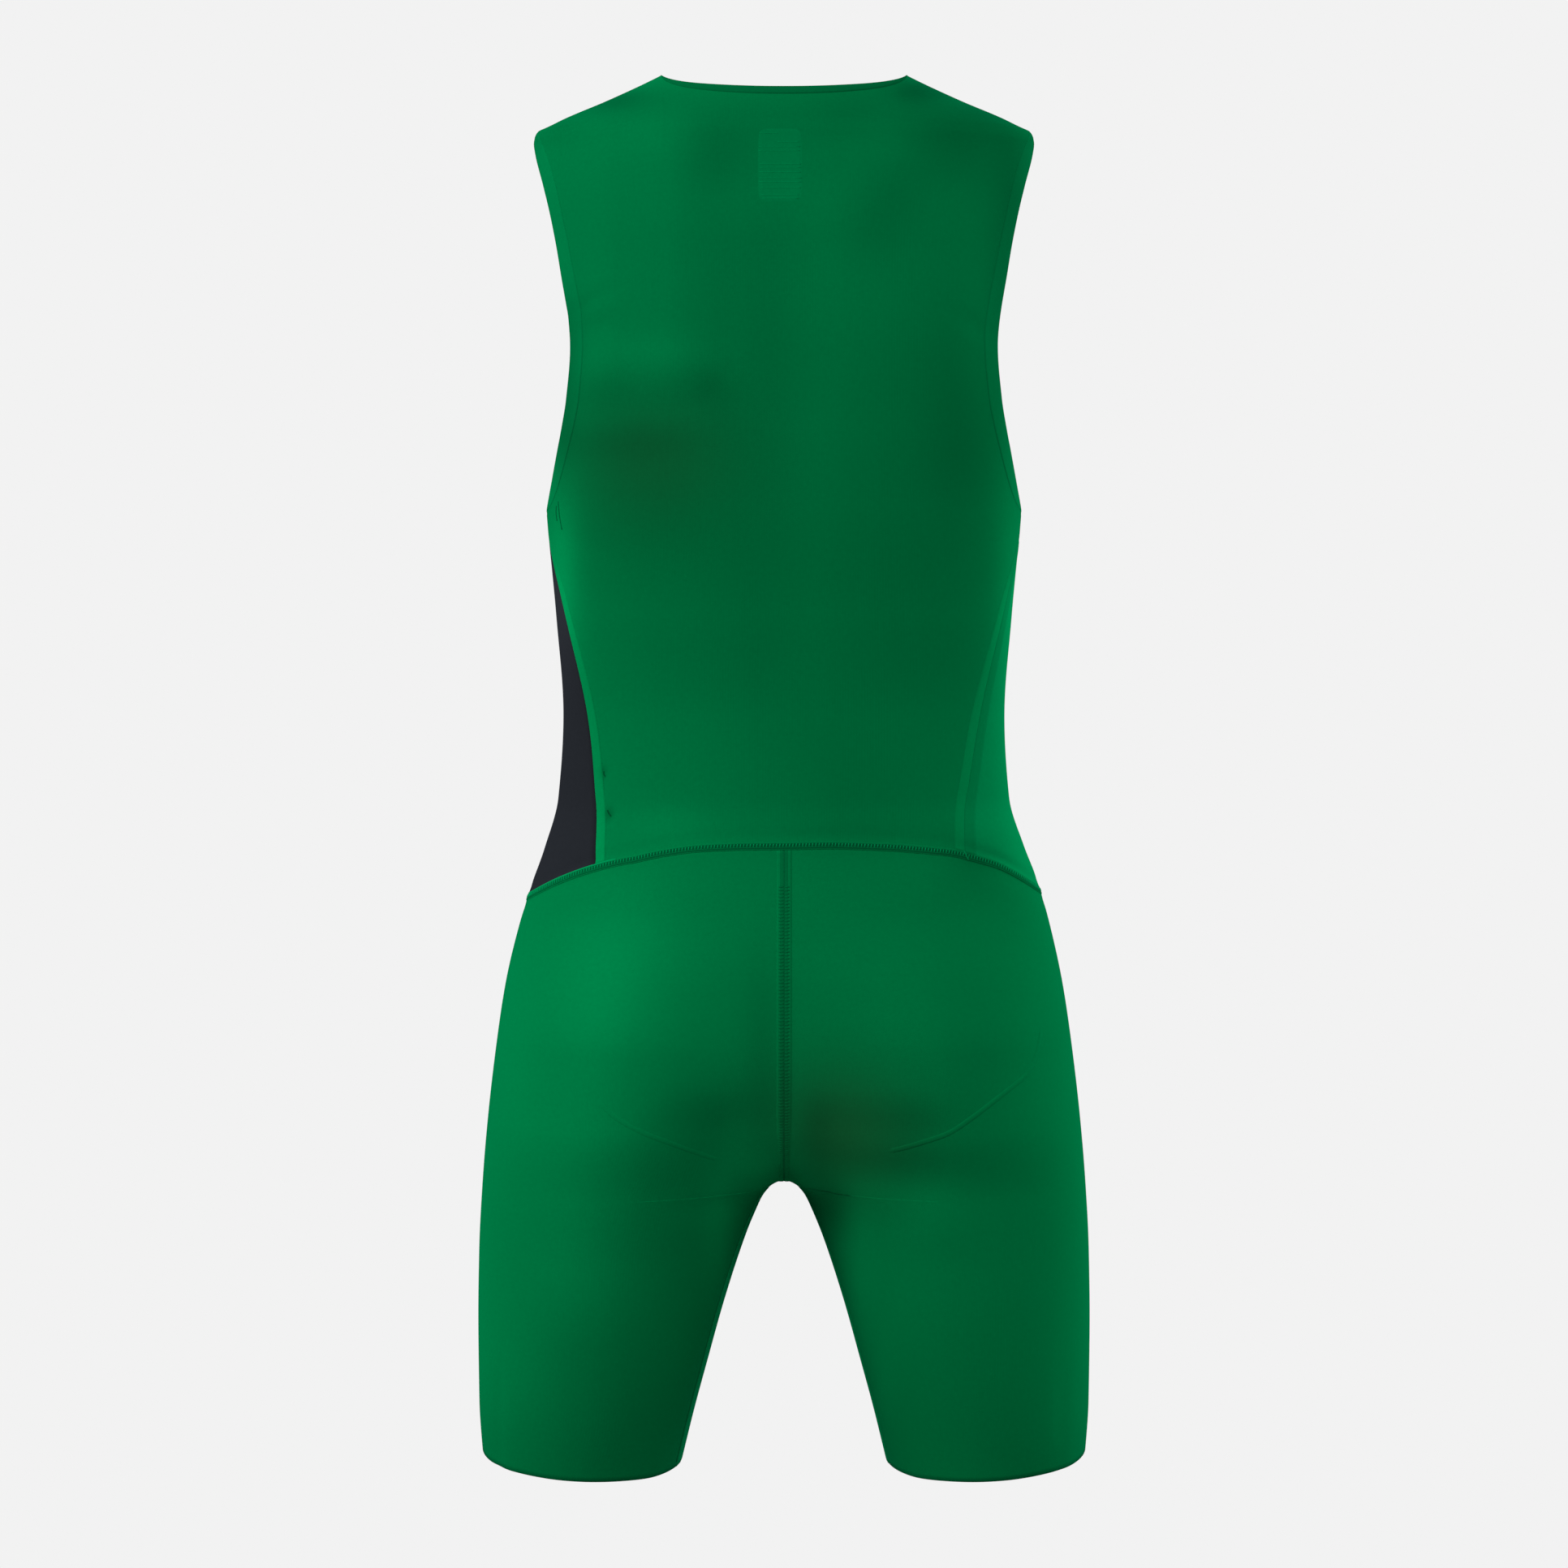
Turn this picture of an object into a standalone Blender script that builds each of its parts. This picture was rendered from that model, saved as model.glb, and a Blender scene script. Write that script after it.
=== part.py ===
"""A sleeveless one-piece sports jumpsuit, worn form with no wearer in it, modelled in metres.

Frame: +Z up, front towards -Y, wearer's left side towards +X. The origin is on the centre plane at
the height of the neck points, where the shoulder seams meet the neck edge. Tables are in millimetres.
"""

import math

import bmesh
import bpy

MM = 0.001

# Cloth and seams
WALL = 1.5
SEAM_GAP = 0.3
SHOULDER_SEAM_GAP = 0.44

# Neck and shoulder
NECK_HALF_WIDTH = 81.0
BACK_NECK_DROP = 17.6
BACK_NECK_POWER = 2.2
BACK_NECK_ROUND = 0.52
FRONT_NECK_DROP = 72.0
FRONT_NECK_POWER = 2.3
FRONT_NECK_ROUND = 0.62
SHOULDER_TIP_X = 165.5
SHOULDER_TIP_Z = -49.0

# Armholes
UNDERARM_Z = -291.0
PANEL_FRONT_TOP_Z = -240.0
PANEL_TOP_POWER = 1.7

# Waist seam: it arches up at the centre back and a little at the centre front
SEAM_SIDE_Z = -546.0
SEAM_BACK_RISE = 38.0
SEAM_FRONT_RISE = 12.0
SEAM_POWER = 4.0

# Shorts
RISE_TOP_Z = -640.0
CROTCH_Z = -735.0
HEM_Z = -917.0
HEM_BACK_DIP = 3.2
HEM_TILT = 4.6
RISE_POWER = 2.2
CENTRE_DEPTH = 0.965
CROTCH_BLEND = 0.16
LEG_SQUARE = 2.15

# Faces along each piece
BODICE_COLUMNS = 12
ARMHOLE_ROWS = 13
SIDE_SEAM_ROWS = 12
SIDE_PANEL_COLUMNS = 6
LEG_QUARTER_COLUMNS = 8
FIRST_ROW_SHARE = 0.0035
ROW_STRIP = 0.012
COLUMN_STRIP = 0.015
PANEL_STRIP = 0.035

# Down a bodice its columns change from even widths to even angles
BY_WIDTH_Z = -60.0
BY_ANGLE_Z = -240.0

TORSO_COLUMNS = ("z", "half_width", "back", "front", "square")
TORSO_ROWS = (
    (0, 81, 44, 30, 2.0),
    (-20, 120, 58, 38, 2.1),
    (-34.5, 152, 68, 45, 2.2),
    (-41, 162.5, 72, 48, 2.25),
    (-49, 165.5, 77, 52, 2.3),
    (-75, 165.3, 88, 66, 2.4),
    (-120, 160, 99, 87, 2.5),
    (-187, 157, 105, 106, 2.5),
    (-240, 160, 103, 113, 2.4),
    (-291, 157.4, 98, 114, 2.3),
    (-360, 151.2, 86, 108, 2.3),
    (-425, 146.6, 77, 101, 2.3),
    (-480, 150, 80, 98, 2.3),
    (-513, 159, 87, 97, 2.3),
    (-546, 170.6, 96, 97, 2.3),
    (-600, 184.3, 108, 98, 2.4),
    (-640, 190.4, 113, 98, 2.5),
)

ARMHOLE_COLUMNS = ("z", "back_x", "front_x")
ARMHOLE_TABLE = (
    (-49, 165.5, 165.5),
    (-58, 163.5, 162.5),
    (-79, 157.5, 155),
    (-101, 152, 148),
    (-133, 145.8, 141),
    (-187, 139.2, 140.5),
    (-220, 141.4, 146.4),
    (-240, 144, 151.6),
    (-252, 146.8, 153.8),
    (-274, 151.6, 156),
    (-285, 154.7, 157),
    (-291, 157.4, 157.4),
)

# Angles round the torso from its centre back and from its centre front, in degrees
SIDE_SEAM_COLUMNS = ("z", "from_back", "from_front")
SIDE_SEAM_TABLE = (
    (-240, 90, 71.12),
    (-291, 90, 70),
    (-317, 85.5, 68.5),
    (-347, 76.5, 66.3),
    (-382, 67.2, 63.3),
    (-436, 58.8, 58.5),
    (-477, 53.4, 54),
    (-525, 46.5, 49),
    (-546, 44.5, 47),
)

LEG_COLUMNS = ("z", "outer", "apex", "back", "front", "middle")
LEG_ROWS = (
    (-500, 155, 78, 88, 97, 0),
    (-546, 170.6, 84, 99, 97, 0),
    (-600, 184.3, 90, 110, 98, 2),
    (-640, 190.4, 94, 114, 98, 3),
    (-690, 196.2, 99, 112, 97, 5),
    (-735, 200, 104.5, 101, 94.5, 6),
    (-780, 202.5, 113, 90.5, 92.5, 4),
    (-830, 203.4, 121.5, 84.5, 91, 1),
    (-880, 203, 129.5, 80.5, 88.5, -2),
    (-925, 200, 135, 77.5, 85.5, -3),
)

INSEAM_COLUMNS = ("z", "x")
INSEAM_ROWS = (
    (-735, 5.3),
    (-738, 9),
    (-743.5, 13.6),
    (-754, 18.8),
    (-771, 25.7),
    (-814, 39.7),
    (-857, 51.6),
    (-889, 60.2),
    (-925, 69),
)

# Levels of the rows of faces down each leg; the first follows the waist seam, and they close up
# round the crotch
LEG_LEVELS = (
    -527, -530, -549, -571, -593, -615, -638, -660, -681, -699, -713, -723, -730, -733.6, -735,
    -736.6, -740, -746, -756, -771, -791, -814, -838, -863, -890, -917,
)
SEAM_FADE_END = -638.0


def slopes(heights, values):
    """Slopes of a curve through the points that doesn't overshoot between them."""
    steps = [
        (values[i + 1] - values[i]) / (heights[i + 1] - heights[i])
        for i in range(len(values) - 1)
    ]
    found = [steps[0]]
    for before, after in zip(steps, steps[1:]):
        same_way = before * after > 0
        found.append(2 * before * after / (before + after) if same_way else 0.0)
    found.append(steps[-1])
    return found


class Table:
    """Rows of a table read at any height, by the name of a column."""

    def __init__(self, columns, rows):
        self.heights = [row[0] for row in rows]
        self.curves = {}
        for number, name in enumerate(columns[1:], 1):
            values = [row[number] for row in rows]
            self.curves[name] = (values, slopes(self.heights, values))

    def at(self, name, z):
        values, tangents = self.curves[name]
        z = min(max(z, self.heights[-1]), self.heights[0])
        i = 0
        while i < len(values) - 2 and z < self.heights[i + 1]:
            i += 1
        span = self.heights[i + 1] - self.heights[i]
        t = (z - self.heights[i]) / span
        return (
            values[i] * (1 + 2 * t) * (1 - t) ** 2
            + tangents[i] * span * t * (1 - t) ** 2
            + values[i + 1] * t * t * (3 - 2 * t)
            + tangents[i + 1] * span * t * t * (t - 1)
        )


TORSO = Table(TORSO_COLUMNS, TORSO_ROWS)
ARMHOLE = Table(ARMHOLE_COLUMNS, ARMHOLE_TABLE)
SIDE_SEAM = Table(SIDE_SEAM_COLUMNS, SIDE_SEAM_TABLE)
LEG = Table(LEG_COLUMNS, LEG_ROWS)
INSEAM = Table(INSEAM_COLUMNS, INSEAM_ROWS)


def smoothstep(low, high, value):
    t = min(max((value - low) / (high - low), 0.0), 1.0)
    return t * t * (3 - 2 * t)


def torso_y(face, x, z):
    """How far the torso reaches back (face is "back") or forward at this width and height."""
    square = TORSO.at("square", z)
    share = min(abs(x) / TORSO.at("half_width", z), 1.0)
    depth = TORSO.at(face, z) * (1 - share**square) ** (1 / square)
    return depth if face == "back" else -depth


def torso_x(angle, z):
    """Width of the torso at an angle from its centre back or centre front."""
    share = math.sin(math.radians(angle)) ** (2 / TORSO.at("square", z))
    return TORSO.at("half_width", z) * share


def waist_seam_z(face, share):
    """Height of the waist seam, where share is the width there as a part of the half width."""
    rise = SEAM_BACK_RISE if face == "back" else SEAM_FRONT_RISE
    return SEAM_SIDE_Z + rise * (1 - min(abs(share), 1.0) ** SEAM_POWER)


def seam_z_at_angle(face, angle):
    z = SEAM_SIDE_Z
    for _ in range(6):
        z = waist_seam_z(face, torso_x(angle, z) / TORSO.at("half_width", z))
    return z


def neck_z(face, x):
    share = abs(x) / NECK_HALF_WIDTH
    if face == "back":
        return -BACK_NECK_DROP * (1 - share**BACK_NECK_POWER) ** BACK_NECK_ROUND
    return -FRONT_NECK_DROP * (1 - share**FRONT_NECK_POWER) ** FRONT_NECK_ROUND


def evenly(count, first_strip=0.0, last_strip=0.0):
    """Shares from 0 to 1 in even steps, with a narrow step at an end that meets another piece.

    The narrow step keeps the wall's edge square to the cloth, so that walls meet at their seam.
    """
    shares = [number / count for number in range(count + 1)]
    if last_strip:
        shares.insert(-1, 1 - last_strip)
    if first_strip:
        shares.insert(1, first_strip)
    return shares


def armhole_heights(face):
    corner = UNDERARM_Z if face == "back" else PANEL_FRONT_TOP_Z
    drop = corner - SHOULDER_TIP_Z
    rounds = [(1 - math.cos(math.pi * share)) / 2 for share in evenly(ARMHOLE_ROWS)]
    rounds.insert(1, FIRST_ROW_SHARE)
    return [SHOULDER_TIP_Z + drop * share for share in rounds]


def side_seam_heights(face):
    corner = UNDERARM_Z if face == "back" else PANEL_FRONT_TOP_Z
    bottom = SEAM_SIDE_Z
    for _ in range(20):
        bottom = seam_z_at_angle(face, SIDE_SEAM.at("from_" + face, bottom))
    return [corner + (bottom - corner) * share for share in evenly(SIDE_SEAM_ROWS, 0.0, ROW_STRIP)]


def edge_x(face, z):
    corner = UNDERARM_Z if face == "back" else PANEL_FRONT_TOP_Z
    if z >= corner:
        return ARMHOLE.at(face + "_x", z)
    return torso_x(SIDE_SEAM.at("from_" + face, z), z)


def top_point(face, part):
    """A point of the neck edge (part below half) or of the shoulder seam, at this part outwards."""
    if part < 0.5:
        x = NECK_HALF_WIDTH * math.sin(math.pi * part)
        return (x, neck_z(face, x))
    z = SHOULDER_TIP_Z * (2 * part - 1)
    return (TORSO.at("half_width", z), z)


def bodice_rows(face):
    """Points of the left half of a bodice, a row at a time, from the centre to the side."""
    parts = evenly(BODICE_COLUMNS, 0.0, COLUMN_STRIP)
    heights = armhole_heights(face) + side_seam_heights(face)[1:]
    bottom_angle = SIDE_SEAM.at("from_" + face, heights[-1])
    rows = []
    for height in heights:
        t = (height - heights[0]) / (heights[-1] - heights[0])
        side_x = edge_x(face, height)
        share = min(side_x / TORSO.at("half_width", height), 1.0)
        side_angle = math.degrees(math.asin(share ** (TORSO.at("square", height) / 2)))
        by_angle = smoothstep(BY_WIDTH_Z, BY_ANGLE_Z, height)
        row = []
        for part in parts:
            top_x, top_z = top_point(face, part)
            z = top_z + (seam_z_at_angle(face, bottom_angle * part) - top_z) * t
            by_width = side_x * top_x / SHOULDER_TIP_X
            x = by_width + (torso_x(side_angle * part, z) - by_width) * by_angle
            if t == 0:
                x = top_x
            if part == 1:
                x = side_x
            y = 0.0 if t == 0 and part >= 0.5 else torso_y(face, x, z)
            row.append((x, y, z))
        rows.append(row)
    return rows


def side_panel_angle(back_z, front_z, part):
    """Which face a point of the side panel is on, and its angle from that face's centre."""
    back_angle = SIDE_SEAM.at("from_back", back_z)
    front_angle = 180 - SIDE_SEAM.at("from_front", front_z)
    angle = back_angle + (front_angle - back_angle) * part
    return ("back", angle) if angle <= 90 else ("front", 180 - angle)


def side_panel_rows():
    """Points of the left side panel, a row at a time, from its back seam to its front seam."""
    back = side_seam_heights("back")
    front = side_seam_heights("front")
    rows = []
    for down, back_z, front_z in zip(evenly(SIDE_SEAM_ROWS, 0.0, ROW_STRIP), back, front):
        power = PANEL_TOP_POWER + (1 - PANEL_TOP_POWER) * down
        row = []
        for part in evenly(SIDE_PANEL_COLUMNS, PANEL_STRIP, PANEL_STRIP):
            face, angle = side_panel_angle(back_z, front_z, part)
            seam = seam_z_at_angle(*side_panel_angle(back[-1], front[-1], part))
            straight = back[-1] + (front[-1] - back[-1]) * part
            z = back_z + (front_z - back_z) * part**power + (seam - straight) * down**2
            x = torso_x(angle, z)
            row.append((x, torso_y(face, x, z), z))
        rows.append(row)
    return rows


def merge_min(a, b):
    """The smaller of two values, rounded where they are alike, which joins the two legs softly."""
    return -CROTCH_BLEND * math.log(math.exp(-a / CROTCH_BLEND) + math.exp(-b / CROTCH_BLEND))


def inner_quarter(z, depth, columns):
    """Offsets (x, y) of a leg's inner quarter, from its centre or inseam point to its apex.

    The two legs are ellipses that melt together above the crotch and part below it.
    """
    apex = LEG.at("apex", z)
    if z > CROTCH_Z:
        down = max(RISE_TOP_Z - z, 0.0) / (RISE_TOP_Z - CROTCH_Z)
        reach = CENTRE_DEPTH * (1 - down**RISE_POWER) ** (1 / RISE_POWER)
        width = apex / math.sqrt(1 + CROTCH_BLEND * math.log(2) - reach**2)
        start = math.atan2(reach, apex / width)
    else:
        width = apex - INSEAM.at("x", z)
        start = 0.0

    def field(rho, angle):
        u = rho * math.cos(angle)
        v = rho * math.sin(angle)
        x = apex - width * u
        return merge_min(u * u + v * v, ((apex + x) / width) ** 2 + v * v)

    def radius(angle):
        low = 0.3
        high = min(1.6, apex / width / max(math.cos(angle), 1e-6))
        for _ in range(40):
            middle = (low + high) / 2
            if field(middle, angle) < 1:
                low = middle
            else:
                high = middle
        return (low + high) / 2

    over = radius(math.pi / 2) - 1
    points = []
    for column in range(columns + 1):
        part = column / columns
        angle = start + (math.pi / 2 - start) * part
        rho = radius(angle) - over * part**2
        x = apex - width * rho * math.cos(angle)
        if column == 0 and z >= CROTCH_Z:
            x = 0.0
        points.append((x, depth * rho * math.sin(angle)))
    return points


def outer_quarter(z, depth, columns):
    """Offsets (x, y) of a leg's outer quarter, from its apex to its side."""
    apex = LEG.at("apex", z)
    width = LEG.at("outer", z) - apex
    points = []
    for column in range(1, columns + 1):
        angle = math.pi / 2 * column / columns
        x = apex + width * math.sin(angle) ** (2 / LEG_SQUARE)
        y = depth * max(math.cos(angle), 0.0) ** (2 / LEG_SQUARE)
        points.append((x, y))
    return points


def leg_ring(z, columns):
    """A leg's section from its centre back round its side to its centre front."""
    middle = LEG.at("middle", z)
    ring = []
    for face, sign in (("back", 1), ("front", -1)):
        depth = LEG.at(face, z) - sign * middle
        half = inner_quarter(z, depth, columns) + outer_quarter(z, depth, columns)
        points = [(x, middle + sign * y) for x, y in half]
        ring += points if face == "back" else points[-2::-1]
    return ring


def waist_ring(z, columns):
    """The torso's section at this height, with its points where a leg's section has them."""
    apex = LEG.at("apex", z)
    square = TORSO.at("square", z)
    half_width = TORSO.at("half_width", z)
    start = math.asin((apex / half_width) ** (square / 2))
    ring = []
    for face in ("back", "front"):
        half = []
        for column in range(2 * columns + 1):
            if column <= columns:
                x = apex * column / columns
            else:
                angle = start + (math.pi / 2 - start) * (column - columns) / columns
                x = torso_x(math.degrees(angle), z)
            half.append((x, torso_y(face, x, z)))
        ring += half if face == "back" else half[-2::-1]
    return ring


def short_point(z, column, columns):
    waist = smoothstep(RISE_TOP_Z, SEAM_SIDE_Z, z)
    point = (0.0, 0.0)
    if waist < 1:
        point = leg_ring(z, columns)[column]
    if waist > 0:
        other = waist_ring(z, columns)[column]
        point = tuple(a + (b - a) * waist for a, b in zip(point, other))
    return (point[0], point[1], z)


def short_seam_heights(columns):
    """Height of the waist seam over each column of a leg's section."""
    heights = []
    for column in range(4 * columns + 1):
        face = "back" if column <= 2 * columns else "front"
        z = SEAM_SIDE_Z
        for _ in range(6):
            x = waist_ring(z, columns)[column][0]
            z = waist_seam_z(face, x / TORSO.at("half_width", z))
        heights.append(z)
    return heights


def short_rows():
    """Points of the left short, a row at a time, from the centre back round to the centre front."""
    columns = LEG_QUARTER_COLUMNS
    seam = short_seam_heights(columns)
    rows = []
    for level in LEG_LEVELS:
        fade = max((level - SEAM_FADE_END) / (LEG_LEVELS[0] - SEAM_FADE_END), 0.0)
        near_hem = smoothstep(CROTCH_Z, HEM_Z, level)
        row = []
        for column in range(4 * columns + 1):
            z = level + (seam[column] - LEG_LEVELS[0]) * fade
            turn = math.pi * column / (2 * columns)
            z -= near_hem * (HEM_TILT * math.cos(turn) + HEM_BACK_DIP * max(math.sin(turn), 0.0))
            row.append(short_point(z, column, columns))
        rows.append(row)
    return rows


def pull_in(rows, side, gap):
    """Moves one edge of a grid of points half a seam's gap towards the inside of its piece."""
    edge = {
        "top": [((0, c), (1, c)) for c in range(len(rows[0]))],
        "bottom": [((-1, c), (-2, c)) for c in range(len(rows[0]))],
        "first": [((r, 0), (r, 1)) for r in range(len(rows))],
        "last": [((r, -1), (r, -2)) for r in range(len(rows))],
    }[side]
    for (row, column), (next_row, next_column) in edge:
        here = rows[row][column]
        inside = rows[next_row][next_column]
        step = [b - a for a, b in zip(here, inside)]
        length = math.sqrt(sum(s * s for s in step))
        rows[row][column] = tuple(a + s / length * gap / 2 for a, s in zip(here, step))


def mirrored(rows):
    """The rows with their left half added on the other side of the centre."""
    return [[(-x, y, z) for x, y, z in row[:0:-1]] + row for row in rows]


def make_material(name, colour, roughness):
    material = bpy.data.materials.new(name)
    material.use_nodes = True
    shader = material.node_tree.nodes["Principled BSDF"]
    shader.inputs["Base Color"].default_value = (*colour, 1.0)
    shader.inputs["Roughness"].default_value = roughness
    shader.inputs["Metallic"].default_value = 0.0
    return material


def make_cloth(collection, name, rows, material, closed_from=None, flip=False):
    """An open surface through rows of points, given its wall on the inside by Solidify.

    From row closed_from down, the last point of a row is its first, as round a trouser leg.
    """
    mesh = bpy.data.meshes.new(name)
    shape = bmesh.new()
    grid = []
    for number, row in enumerate(rows):
        closed = closed_from is not None and number >= closed_from
        points = row[:-1] if closed else row
        verts = [shape.verts.new([value * MM for value in point]) for point in points]
        grid.append(verts + verts[:1] if closed else verts)
    for upper, lower in zip(grid, grid[1:]):
        for column in range(len(upper) - 1):
            corners = [upper[column], lower[column], lower[column + 1], upper[column + 1]]
            shape.faces.new(corners[::-1] if flip else corners)
    shape.to_mesh(mesh)
    shape.free()
    mesh.shade_smooth()
    mesh.materials.append(material)
    piece = bpy.data.objects.new(name, mesh)
    collection.objects.link(piece)
    wall = piece.modifiers.new("wall", "SOLIDIFY")
    wall.thickness = WALL * MM
    wall.offset = -1.0
    return piece


def make_bodice(collection, face, material):
    rows = bodice_rows(face)
    pull_in(rows, "last", SEAM_GAP)
    pull_in(rows, "bottom", SEAM_GAP)
    for column in range(BODICE_COLUMNS // 2, len(rows[0])):
        strip = [[row[column]] for row in rows[:2]]
        pull_in(strip, "top", SHOULDER_SEAM_GAP)
        rows[0][column] = strip[0][0]
    make_cloth(collection, face + "_bodice", mirrored(rows), material, flip=face == "back")


def make_side_panels(collection, left_material, right_material):
    rows = side_panel_rows()
    for side in ("first", "last", "bottom"):
        pull_in(rows, side, SEAM_GAP)
    make_cloth(collection, "side_panel_left", rows, left_material, flip=True)
    opposite = [[(-x, y, z) for x, y, z in row] for row in rows]
    make_cloth(collection, "side_panel_right", opposite, right_material)


def make_shorts(collection, material):
    rows = short_rows()
    crotch = LEG_LEVELS.index(CROTCH_Z)
    pull_in(rows, "top", SEAM_GAP)
    for row in rows[: crotch + 1]:
        for column in (0, -1):
            x, y, z = row[column]
            row[column] = (SEAM_GAP / 2, y, z)
    make_cloth(collection, "short_left", rows, material, closed_from=crotch, flip=True)
    opposite = [[(-x, y, z) for x, y, z in row] for row in rows]
    make_cloth(collection, "short_right", opposite, material, closed_from=crotch)


def clear_scene():
    for item in list(bpy.data.objects):
        bpy.data.objects.remove(item, do_unlink=True)


def main():
    clear_scene()
    collection = bpy.data.collections.new("sports_jumpsuit")
    bpy.context.scene.collection.children.link(collection)
    green = make_material("green_stretch_knit", (0.0, 0.118, 0.052), 0.42)
    navy = make_material("navy_stretch_knit", (0.014, 0.018, 0.028), 0.45)
    make_bodice(collection, "back", green)
    make_bodice(collection, "front", green)
    make_side_panels(collection, navy, green)
    make_shorts(collection, green)


main()
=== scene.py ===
"""Looks of the sports jumpsuit: knit shells on the form of its solids, seams, stage and camera.

Lengths in the tables are in millimetres. +Z is up, the front faces -Y and the wearer's left is +X.
"""

import math

import bmesh
import bpy
import numpy as np
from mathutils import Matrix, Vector


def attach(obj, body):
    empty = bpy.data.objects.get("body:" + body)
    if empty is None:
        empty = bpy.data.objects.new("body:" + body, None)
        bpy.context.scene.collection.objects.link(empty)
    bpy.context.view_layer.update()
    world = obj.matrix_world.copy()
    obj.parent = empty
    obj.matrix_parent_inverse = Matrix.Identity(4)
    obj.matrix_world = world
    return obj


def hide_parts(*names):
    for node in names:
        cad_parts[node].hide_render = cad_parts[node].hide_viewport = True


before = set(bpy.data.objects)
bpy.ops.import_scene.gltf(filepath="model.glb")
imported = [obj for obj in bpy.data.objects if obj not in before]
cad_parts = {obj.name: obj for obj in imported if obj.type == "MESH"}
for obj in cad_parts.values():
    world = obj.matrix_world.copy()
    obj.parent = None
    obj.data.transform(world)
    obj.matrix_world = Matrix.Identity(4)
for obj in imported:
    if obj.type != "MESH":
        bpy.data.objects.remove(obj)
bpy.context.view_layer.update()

MM = 0.001
# Turns points on the wearer's left into points on the right
ACROSS = np.array([-1.0, 1.0, 1.0])

# Sizes of the cut, as in the part's source but for a few mm at armholes and side seams
NECK_HALF_WIDTH = 81.0
# Depth of the neck's scoop and the two powers of its curve
NECK_SCOOP = {"back": (17.6, 2.2, 0.52), "front": (72.0, 2.3, 0.62)}
SHOULDER_TIP_X = 165.5
SHOULDER_TIP_Z = -49.0
# Where the armhole ends and the side seam begins
CORNER_Z = {"back": -291.0, "front": -240.0}
PANEL_TOP_POWER = 1.7
SEAM_SIDE_Z = -546.0
SEAM_BACK_RISE = 38.0
SEAM_FRONT_RISE = 12.0
SEAM_POWER = 4.0
RISE_TOP_Z = -640.0
CROTCH_Z = -735.0
HEM_Z = -917.0
HEM_BACK_DIP = 3.2
HEM_TILT = 4.6
RISE_POWER = 2.2
CENTRE_DEPTH = 0.965
CROTCH_BLEND = 0.16
LEG_SQUARE = 2.15
BY_WIDTH_Z = -60.0
BY_ANGLE_Z = -240.0
SEAM_TOP_Z = -527.0
SEAM_FADE_END = -638.0


class Table:
    """Rows read at any height, by the name of a column, on a curve without overshoot."""

    def __init__(self, columns, *rows):
        self.heights = np.array([row[0] for row in rows], float)
        self.curves = {}
        for number, name in enumerate(columns.split()[1:], 1):
            values = np.array([row[number] for row in rows], float)
            steps = np.diff(values) / np.diff(self.heights)
            before, after = steps[:-1], steps[1:]
            same_way = before * after > 0
            total = np.where(same_way, before + after, 1.0)
            inner = np.where(same_way, 2 * before * after / total, 0.0)
            self.curves[name] = (values, np.concatenate([steps[:1], inner, steps[-1:]]))

    def at(self, name, z):
        values, tangents = self.curves[name]
        z = np.clip(z, self.heights[-1], self.heights[0])
        i = np.clip(np.searchsorted(-self.heights, -z, side="right") - 1, 0, len(values) - 2)
        span = self.heights[i + 1] - self.heights[i]
        t = (z - self.heights[i]) / span
        return (
            values[i] * (1 + 2 * t) * (1 - t) ** 2
            + tangents[i] * span * t * (1 - t) ** 2
            + values[i + 1] * t * t * (3 - 2 * t)
            + tangents[i + 1] * span * t * t * (t - 1)
        )


TORSO = Table(
    "z half_width back front square",
    (0, 81, 44, 30, 2.0),
    (-20, 120, 58, 38, 2.1),
    (-34.5, 152, 68, 45, 2.2),
    (-41, 162.5, 72, 48, 2.25),
    (-49, 165.5, 77, 52, 2.3),
    (-75, 165.3, 88, 66, 2.4),
    (-120, 160, 99, 87, 2.5),
    (-187, 157, 105, 106, 2.5),
    (-240, 160, 103, 113, 2.4),
    (-291, 157.4, 98, 114, 2.3),
    (-360, 151.2, 86, 108, 2.3),
    (-425, 146.6, 77, 101, 2.3),
    (-480, 150, 80, 98, 2.3),
    (-513, 159, 87, 97, 2.3),
    (-546, 170.6, 96, 97, 2.3),
    (-600, 184.3, 108, 98, 2.4),
    (-640, 190.4, 113, 98, 2.5),
)
ARMHOLE = Table(
    "z back_x front_x",
    (-49, 165.5, 165.5),
    (-58, 163.5, 162.5),
    (-79, 157.5, 155),
    (-101, 152, 148),
    (-133, 145.8, 141),
    (-187, 138.3, 140.5),
    (-220, 141.1, 146.2),
    (-240, 144.7, 151),
    (-252, 147.4, 152.9),
    (-274, 152.5, 156),
    (-285, 155.4, 157),
    (-291, 157.4, 157.4),
)
# Angles round the torso from centre back and centre front, in degrees
SIDE_SEAM = Table(
    "z from_back from_front",
    (-240, 90, 68.89),
    (-291, 90, 70),
    (-310, 84.5, 68.9),
    (-330, 77.8, 67.6),
    (-347, 73, 66.3),
    (-382, 66, 63.3),
    (-436, 57.6, 58.5),
    (-477, 52.7, 54),
    (-525, 46.2, 49),
    (-546, 44.5, 47),
)
LEG = Table(
    "z outer apex back front middle",
    (-500, 155, 78, 88, 97, 0),
    (-546, 170.6, 84, 99, 97, 0),
    (-600, 184.3, 90, 110, 98, 2),
    (-640, 190.4, 94, 114, 98, 3),
    (-690, 196.2, 99, 112, 97, 5),
    (-735, 200, 104.5, 101, 94.5, 6),
    (-780, 202.5, 113, 90.5, 92.5, 4),
    (-830, 203.4, 121.5, 84.5, 91, 1),
    (-880, 203, 129.5, 80.5, 88.5, -2),
    (-925, 200, 135, 77.5, 85.5, -3),
)
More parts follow.
